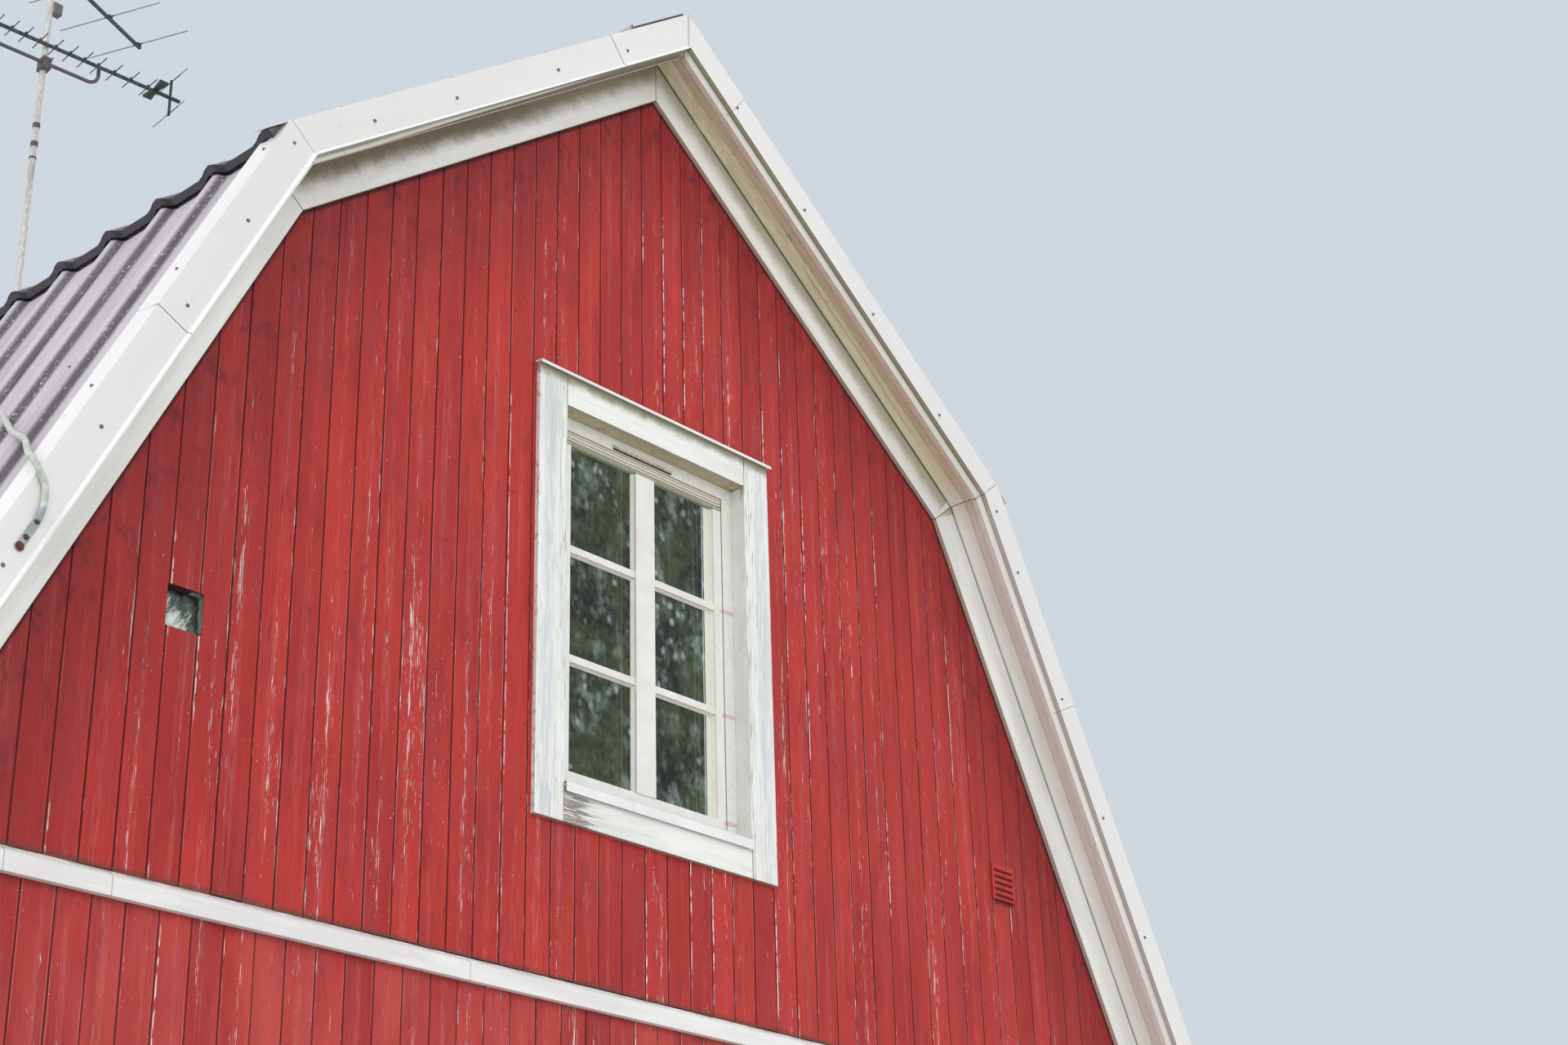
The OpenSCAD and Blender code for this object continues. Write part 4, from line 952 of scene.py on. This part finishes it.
# Verge flashing: folded white-coated steel over the barge board, its splayed lip below and its flange
# on the outermost roll. Upper lengths lap lower ones, and small hexagonal screws hold face and flange.
face_out, lip_out = 0.2123, 0.2243
laps = ((1, -1, 0.947), (0, -1, 0.363), (0, 1, 0.215), (1, 1, 0.973))
verge_white, spot = finish("verge_sheet", Coat_Weight=0.15, Coat_Roughness=0.3)
s, d, y = down_roof(spot)
out = abs(y) - half_l
left, high = left_side(spot), s.rise(up_len + 0.1, up_len - 0.1)
plan = spot.place(s, d, y)
cloud = plan.noise((0.7, 3, 3), 4, 0.6)
drip = plan.noise((30, 3, 3), 4, 0.65)
grime = plan.noise(9, 5, 0.7)
colour = cloud.rise(0.3, 0.7).mix((218, 217, 214), (225, 224, 221))
colour = (drip.rise(0.58, 0.76) * 0.10).mix(colour, (188, 190, 188))
colour = (grime.rise(0.62, 0.74) * 0.22).mix(colour, (176, 174, 166))
# grime along the lower edge, and a painted highlight on the splayed lip
low_edge = d.rise(0.136, 0.129) * grime.rise(0.4, 0.62)
lip = out.rise(0.2130, 0.2140) * d.rise(0.142, 0.139)
colour = (low_edge * 0.4).mix(colour, (146, 142, 128))
colour = (lip * 0.7).mix(colour, (244, 245, 245))
# the lip's underside: olive with moss and painted shade on the left verge, pale with an olive edge and dark
# lines of moss and painted shade on the right one
leg = d.rise(0.1296, 0.1292) * out.rise(0.2235, 0.2230)
outside = high.mix((222, 222, 218), (198, 206, 184))
colour = leg.mix(colour, out.rise(0.190, 0.202).mix((240, 243, 238), outside))
dark_leg = leg * (1 - left).between(1, out.rise(0.2020, 0.2030))
colour = (dark_leg * grime.between(0.85, 1.1)).mix(colour, high.mix((188, 187, 184), (162, 164, 138)))
crevice = abs(out - 0.2030 - grime * 0.003).rise(0.0032, 0.0012).most(out.rise(0.2195, 0.2215) * 0.8)
colour = (crevice * leg * (1 - left) * high.between(0.4, 0.9)).mix(colour, (62, 58, 40))
# painted shade along the edges of the laps, also at the knee and the ridge
for part, side, at in laps:
    edge = s.near(at + part * up_len + 0.0006, 0.0016, 0.0008) * (left if side < 0 else 1 - left)
    colour = (edge * 0.7).mix(colour, (70, 70, 70))
knee_lap = (s > up_len - 0.02) * mitre(spot).rise(0.0050, 0.0038) * mitre(spot).rise(0.0012, 0.0022)
ridge_lap = (s < 1) * abs(spot.split()[0]).near(0.003, 0.0014, 0.0008)
colour = (knee_lap.most(ridge_lap) * 0.75).mix(colour, (64, 64, 66))
coat(verge_white, colour, cloud.between(0.3, 0.45), cloud, 0.0018)
dress(verge_white, "front_verge_flashing", "back_verge_flashing")


def sleeve(bm, part, side, end, gable):
    """The end of one length lapping over the next, cut off in the plane of ridge or knee."""
    face_at, lip_at, start = face_out + 0.0004, lip_out + 0.0003, -0.3
    profile = [(0.150, 0.2720), (face_at, 0.2660), (face_at, 0.1404), (lip_at, 0.1278)]
    made = bmesh.new()
    verts = [made.verts.new((start, -out * gable, d)) for out, d in profile]
    edges = [made.edges.new(pair) for pair in zip(verts, verts[1:])]
    grown = bmesh.ops.extrude_edge_only(made, edges=edges)["geom"]
    moved = [v for v in grown if isinstance(v, bmesh.types.BMVert)]
    bmesh.ops.translate(made, vec=(end - start, 0, 0), verts=moved)
    bmesh.ops.recalc_face_normals(made, faces=made.faces)
    out = Vector((0, -gable, 0))
    if sum(face.normal.dot(out) * face.calc_area() for face in made.faces) < 0:
        bmesh.ops.reverse_faces(made, faces=made.faces)
    bmesh.ops.solidify(made, geom=made.faces[:], thickness=-0.0009)
    x, z, angle = slopes[part]
    at = move(x, -half_l * gable, z) @ turn(math.degrees(angle), "Y")
    bmesh.ops.transform(made, matrix=at, verts=made.verts)
    middle = (up_a + low_a) / 2
    if part == 0:
        cut(made, Vector((0.0004, 0, 0)), Vector((-1, 0, 0)))
    else:
        cut(made, Vector((knee_x, 0, knee_z)), Vector((-math.cos(middle), 0, math.sin(middle))))
    if side < 0:
        bmesh.ops.mirror(made, geom=made.verts[:] + made.edges[:] + made.faces[:], axis="X", merge_dist=-1)
        bmesh.ops.delete(made, geom=[v for v in made.verts if v.co.x > 0.0002], context="VERTS")
    bmesh.ops.recalc_face_normals(made, faces=made.faces)
    mesh = bpy.data.meshes.new("sleeve")
    made.to_mesh(mesh)
    made.free()
    bm.from_mesh(mesh)
    bpy.data.meshes.remove(mesh)


bm = bmesh.new()
for gable, (part, side, end) in itertools.product((1, -1), laps):
    sleeve(bm, part, side * gable, end, gable)
piece("verge_laps", bm, verge_white)

face_screws = {(1, -1): (0.417, 0.867, 1.451, 2.05), (0, -1): (0.305, 0.776, 1.405, 1.87, 2.289),
               (0, 1): (0.221, 0.737, 1.279, 1.819), (1, 1): (0.055, 0.340, 0.928, 1.476, 2.023)}
flange_d, flange_screws = 0.2706, (0.09, 0.75, 1.33, 1.95)
places = []
for gable, ((part, side), stations) in itertools.product((1, -1), face_screws.items()):
    for s in stations:
        x, _, z = roof_frame(part, side * gable, s, 0.188, 0).translation
        y = -gable * (half_l + face_out + (0.0012 if s < 1 else 0.0002))
        places.append(move(x, y, z) @ turn(gable * 90, "X") @ Matrix.Rotation(s * 9, 4, "Z"))
    for s in flange_screws:
        places.append(roof_frame(part, side * gable, s, flange_d, -gable * (half_l + 0.171)))
piece("verge_screws", repeat(hex_screw(), places), screw_steel, 30)

# Ridge cap screws: the same hexagonal screws, of the same steel, driven through the cap's sides into each
# second roll.
cap_d = 0.2836
rolls = [first_roll + wave_pitch * k for k in range(0, 28, 2)]
places = [roof_frame(0, side, 0.115, cap_d, y) for side in (-1, 1) for y in rolls if abs(y) < 4.2]
piece("ridge_screws", repeat(hex_screw(), places), screw_steel, 30)

# Tube: a steel tube, bent cold, its end beaten flat and bolted to the left verge with three rusty bolts,
# its other end led over the roof sheets.
dull_steel, spot = finish("galvanised_steel", Metallic=0.25)
spangle = spot.noise(60, 3, 0.6)
rust = spot.noise((35, 35, 20), 5, 0.7).rise(0.6, 0.7)
colour = spangle.rise(0.35, 0.65).mix((168, 174, 166), (196, 200, 192))
colour = (rust * 0.5).mix(colour, (132, 100, 76))
coat(dull_steel, colour, spangle.between(0.4, 0.6), spangle, 0.0004)
dress(dull_steel, "grab_rail")
tube_paint, spot = finish("tube_coating", Metallic=0.15)
spangle = spot.noise(40, 3, 0.6)
colour = spangle.rise(0.35, 0.65).mix((170, 180, 168), (198, 204, 194))
colour = (spot.noise(18, 3, 0.5, 8).rise(0.5, 0.64) * 0.5).mix(colour, (206, 182, 178))
colour = (spot.noise(70, 4, 0.7).rise(0.6, 0.7) * 0.6).mix(colour, (128, 116, 100))
flat_end = spot.split()[2].rise(4.585, 4.57)
colour = (flat_end * 0.8).mix(colour, spangle.rise(0.3, 0.7).mix((122, 138, 146), (150, 162, 166)))
coat(tube_paint, colour, spangle.between(0.38, 0.6), spangle, 0.0004)


def on_verge(s, inwards, d):
    """A place on the left lower verge: down the slope, in from the flashing's face, and off the roof."""
    down = Vector((-math.cos(low_a), 0, -math.sin(low_a)))
    off = Vector((-math.sin(low_a), 0, math.cos(low_a)))
    return Vector((-knee_x, inwards - half_l - face_out - 0.011, knee_z)) + down * s + off * d


# the tube's route over the verge: away from the plate, round the edge and up over the sheets
rest_d, bolt_d = 0.2831, 0.1822
route = [(1.866, 0, -0.100), (1.820, 0, -0.090), (1.793, 0, -0.079), (1.767, 0, -0.065), (1.745, 0, -0.042),
         (1.732, 0, -0.020), (1.722, 0.003, -0.005), (1.708, 0.012, 0.007), (1.690, 0.034, 0.012),
         (1.648, 0.084, 0.014), (1.523, 0.212, 0.013), (1.403, 0.381, 0.009), (1.270, 0.538, 0.005),
         (1.222, 0.593, 0.003), (1.160, 0.666, 0.0)]
curve = bpy.data.curves.new("tube_route", "CURVE")
curve.dimensions, curve.resolution_u, curve.bevel_depth, curve.bevel_resolution = "3D", 6, 0.0105, 5
curve.use_fill_caps = True
line = curve.splines.new("BEZIER")
line.bezier_points.add(len(route) - 1)
for point, (s, inwards, d) in zip(line.bezier_points, route):
    point.co = on_verge(s, inwards, rest_d + d)
    point.handle_left_type = point.handle_right_type = "AUTO"
bent = bpy.data.objects.new("tube_route", curve)
bpy.context.scene.collection.objects.link(bent)
mesh = bpy.data.meshes.new_from_object(bent.evaluated_get(bpy.context.evaluated_depsgraph_get()))
bpy.data.objects.remove(bent)
bm = bmesh.new()
bm.from_mesh(mesh)
bpy.data.meshes.remove(mesh)
bmesh.ops.remove_doubles(bm, verts=bm.verts, dist=1e-5)
bmesh.ops.recalc_face_normals(bm, faces=bm.faces)
tube = piece("grab_tube", bm, tube_paint, 50)
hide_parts("grab_rail")
bm = bmesh.new()
at_plate = move(*on_verge(1.919, 0.0080, bolt_d)) @ turn(-math.degrees(low_a), "Y")
edges = block(bm, (-0.063, -0.0025, -0.0125), (0.063, 0.0025, 0.0125))
plane_off(bm, [e for e in edges if abs(e.verts[0].co.y - e.verts[1].co.y) > 0.001], 0.008, 4)
plane_off(bm, [e for e in bm.edges if all(v.co.y < -0.002 for v in e.verts)], 0.001, 2)
bmesh.ops.transform(bm, matrix=at_plate, verts=bm.verts)
piece("tube_plate", bm, tube_paint, 40)
rusty, spot = finish("rusty_bolt", Metallic=0.2)
pits = spot.noise(220, 4, 0.7)
coat(rusty, pits.rise(0.3, 0.7).mix((58, 42, 38), (120, 82, 66)), pits.between(0.7, 0.9), pits, 0.0006)
places = [move(*on_verge(s, 0.0055, bolt_d)) @ turn(90, "X") @ Matrix.Scale(size, 4)
          for s, size in ((1.866, 1.0), (1.931, 1.05), (1.968, 1.6))]
bm = hex_screw(0.0068, 0.0095)
plane_off(bm, [e for e in bm.edges if all(v.co.z > 0.005 for v in e.verts)], 0.0012, 2)
piece("tube_bolts", repeat(bm, places), rusty, 30)

# Mast and aerials: a galvanised tube standing on the roof boarding, with dark clamp bands, and rods of
# dark weathered alloy clamped to it.
mast_x, mast_y, boom_z, clamp_z = -0.5, -0.05, 9.5, 9.382
boom_turn, upper_turn, boom_off = -5, math.radians(21), 0.0285
mast_steel, spot = finish("mast_coating", Metallic=0.2)
x, _, z = spot.split()
spangle = spot.noise((60, 60, 30), 4, 0.6)
colour = spangle.rise(0.35, 0.65).mix((178, 176, 172), (208, 206, 202))
smear = z.rise(8.4, 8.8) * (1 - z.rise(8.985, 9.0)) * spot.noise((40, 40, 6), 4, 0.6).rise(0.45, 0.65)
colour = (smear * 0.5).mix(colour, (132, 122, 108))
for low, high in ((8.985, 9.015), (8.870, 8.900), (8.795, 8.807)):
    colour = ((z > low) * (z < high) * 0.9).mix(colour, (46, 46, 50))
box = (z > 9.729) * (x > mast_x + 0.0125)
colour = (box * 0.85).mix(colour, (70, 72, 74))
coat(mast_steel, colour, spangle.between(0.4, 0.6), spangle, 0.0004)
dress(mast_steel, "antenna_mast")
# the lower aerial's reflector is green and its support tube violet; away from the booms the upper
# aerial's and the reflector's rods have stayed pale
alloy, spot = finish("weathered_alloy", Metallic=0.3)
x, y, z = spot.split()
soot_and_shade = spot.noise(50, 4, 0.6)
colour = soot_and_shade.rise(0.35, 0.65).mix((46, 48, 50), (88, 90, 92))
pale = spot.noise(30, 2).rise(0.3, 0.7).mix((146, 154, 152), (172, 178, 172))
green = x.rise(0.10, 0.14) * (z < 9.7)
off_boom = (y - mast_y) * math.cos(upper_turn) - (x - mast_x) * math.sin(upper_turn) + boom_off
upper_rods = (z > 9.7) * (abs(off_boom) > 0.034)
reflector_rods = green * (z > 9.36) * (abs(y + 0.18) > 0.065) * (abs(z - boom_z) > 0.09)
violet = (z < 9.43) * (x < -0.05)
colour = (green * 0.7).mix(colour, (30, 62, 46))
colour = (upper_rods * 0.9).mix(colour, pale)
colour = (reflector_rods * 0.8).mix(colour, pale)
colour = (violet * 0.6).mix(colour, (112, 98, 108))
coat(alloy, colour, soot_and_shade.between(0.45, 0.7), soot_and_shade, 0.0004)
dress(alloy, "uhf_antenna", "vhf_antenna")
at_mast = move(mast_x, mast_y, 0) @ turn(boom_turn, "Z")
bm = bmesh.new()
rod(bm, Matrix(), 0.0105, 0.018, 8, 0.006)
rods = [-0.207 - 0.085 * k for k in range(7)]
rods += [-0.127, -0.045, 0.045, 0.130, 0.215, 0.295, 0.390, 0.490, 0.595]
places = [at_mast @ move(along, -boom_off, boom_z + 0.013) for along in rods]
piece("uhf_rod_feet", repeat(bm, places), alloy, 40)
bm = bmesh.new()
for z, x in itertools.product((-0.024, 0.024), (-0.020, 0.020)):
    rod(bm, move(x, -0.052, z) @ turn(90, "X"), 0.003, 0.030, 12)
    rod(bm, move(x, -0.0455, z) @ turn(90, "X"), 0.0075, 0.006, 6)
bmesh.ops.transform(bm, matrix=at_mast @ move(0, 0, clamp_z), verts=bm.verts)
piece("uhf_clamp_bolts", bm, screw_steel, 30)

# Door: a leaf of wide red boards hung in a white frame, with a lever handle and plate on its left and two
# long hinges on its right.
door_red, spot = finish("door_paint", Specular_IOR_Level=0.35)
x, y, z = spot.split()
grain = spot.place(z, y, x)
fibre = grain.noise((7, 230, 230), 3, 0.6)
cloud = grain.noise((1.2, 6, 6), 4, 0.6)
colour = cloud.rise(0.35, 0.65).mix((148, 46, 43), (168, 56, 52))
colour = (fibre.rise(0.6, 0.75) * 0.4).mix(colour, (190, 118, 110))
colour = (z.rise(0.75, 0.46) * 0.35).mix(colour, (110, 52, 46))
coat(door_red, colour, fibre.between(0.5, 0.75), fibre + cloud * 0.5, 0.0008)
dress(door_red, "door_leaf")
frame_white, spot = finish("white_paint_door_frame")
x, y, z = spot.split()
head = z.rise(2.522, 2.524)
grain = spot.place(head.between(z, y), head.between(y, z), x)
colour, rough, relief = worn_white(grain, z.rise(1.2, 0.4) * 0.5 + 0.15)
coat(frame_white, colour, rough, relief, 0.001)
dress(frame_white, "door_frame")
door_metal, spot = finish("door_fittings", Metallic=0.85)
scratch = spot.noise((300, 300, 60), 3, 0.6)
coat(door_metal, scratch.mix((120, 120, 118), (160, 160, 156)), scratch.between(0.3, 0.5))
leaf_x, handle_y, handle_z = 2.9100, -0.385, 1.500
bm = bmesh.new()
edges = block(bm, (leaf_x, handle_y - 0.020, handle_z - 0.125),
              (leaf_x + 0.0025, handle_y + 0.020, handle_z + 0.075))
plane_off(bm, [e for e in edges if abs(e.verts[0].co.x - e.verts[1].co.x) > 0.001], 0.008, 3)
rod(bm, move(leaf_x + 0.0205, handle_y, handle_z) @ turn(90, "Y"), 0.010, 0.037, 20)
rod(bm, move(leaf_x + 0.0340, handle_y + 0.055, handle_z) @ turn(90, "X"), 0.0085, 0.125, 20, 0.0100)
rod(bm, move(leaf_x + 0.0030, handle_y, handle_z - 0.080) @ turn(90, "Y"), 0.008, 0.0025, 16, 0.007)
for z in (0.75, 2.15):
    edges = block(bm, (leaf_x, 0.110, z - 0.018), (leaf_x + 0.0040, 0.449, z + 0.018))
    plane_off(bm, [e for e in edges if all(v.co.x > leaf_x + 0.0030 for v in e.verts)], 0.001, 2)
    rod(bm, move(leaf_x + 0.0080, 0.452, z), 0.008, 0.075, 16)
piece("door_fittings", bm, door_metal, 40)

# Vents: red louvres moulded in plastic, faded and dusty, pressed into the square holes of the attic's
# boarding.
red_plastic, spot = finish("faded_red_plastic", Specular_IOR_Level=0.35)
fade = spot.noise(14, 4, 0.6)
dust = spot.noise(60, 4, 0.7)
colour = fade.rise(0.35, 0.65).mix((172, 44, 39), (190, 54, 47))
colour = (dust.rise(0.55, 0.7) * 0.3).mix(colour, (132, 48, 44))
coat(red_plastic, colour, fade.between(0.45, 0.65), fade, 0.0004)
dress(red_plastic, "wall_vents")

# Camera: low in front of the gable's left corner, looking up at the gable from the photograph's direction,
# with little lens shift so that the other views aren't cropped.
look, rise_by, lean = math.radians(48.96818), math.radians(24.52717), math.radians(-1.76725)
forward = Vector((math.sin(look) * math.cos(rise_by), math.cos(look) * math.cos(rise_by), math.sin(rise_by)))
level = forward.cross(Vector((0, 0, 1))).normalized()
above = level.cross(forward)
right = level * math.cos(lean) + above * math.sin(lean)
up = above * math.cos(lean) - level * math.sin(lean)
camera = bpy.data.objects.new("camera", bpy.data.cameras.new("camera"))
camera.data.sensor_width, camera.data.lens, camera.data.shift_y = 36, 57.0443, 0.025
camera.data.clip_end = 400
turned = Matrix((right, up, -forward)).transposed().to_4x4()
camera.matrix_world = move(-6.139, -10.0383, 1.4357) @ turned
bpy.context.scene.collection.objects.link(camera)
bpy.context.scene.camera = camera

# Floor and light: a plain pale floor, an even pale sky that lights the house from all sides, a soft sun from
# the upper left and a weaker fill from the front.
floor_paint, spot = finish("pale_floor")
coat(floor_paint, spot.noise(0.4, 3).mix((204, 204, 202), (208, 208, 207)),
     spot.noise(2, 2).between(0.85, 0.9))
bm = bmesh.new()
bmesh.ops.create_grid(bm, x_segments=2, y_segments=2, size=900, matrix=move(0, 0, -0.001))
mesh = bpy.data.meshes.new("floor")
bm.to_mesh(mesh)
bm.free()
mesh.materials.append(floor_paint)
floor = bpy.data.objects.new("floor", mesh)
bpy.context.scene.collection.objects.link(floor)

world = bpy.data.worlds.new("studio")
bpy.context.scene.world = world
world.use_nodes = True
tree = world.node_tree
backdrop = tree.nodes["Background"]
paths = tree.nodes.new("ShaderNodeLightPath")
seen = Socket(paths.outputs["Is Camera Ray"]).most(Socket(paths.outputs["Is Glossy Ray"]))
sky_light, sky_seen = (1.20, 1.22, 1.25, 1), (0.62, 0.68, 0.74, 1)
tint = seen.node("Mix", {"data_type": "RGBA"}, {0: seen, 6: sky_light, 7: sky_seen}, out=2)
tree.links.new(backdrop.inputs["Color"], tint.socket)
backdrop.inputs["Strength"].default_value = 1

for name, energy, angle, aim in (("sun", 0.7, 20, (0.85, -0.12, -0.85)),
                                 ("fill", 0.45, 50, (0.5, 0.85, -0.2))):
    lamp = bpy.data.objects.new(name, bpy.data.lights.new(name, "SUN"))
    lamp.data.energy, lamp.data.angle, lamp.data.color = energy, math.radians(angle), (1.0, 0.98, 0.95)
    lamp.rotation_euler = Vector(aim).to_track_quat("-Z", "Y").to_euler()
    bpy.context.scene.collection.objects.link(lamp)

bpy.context.scene.view_settings.view_transform = "Standard"
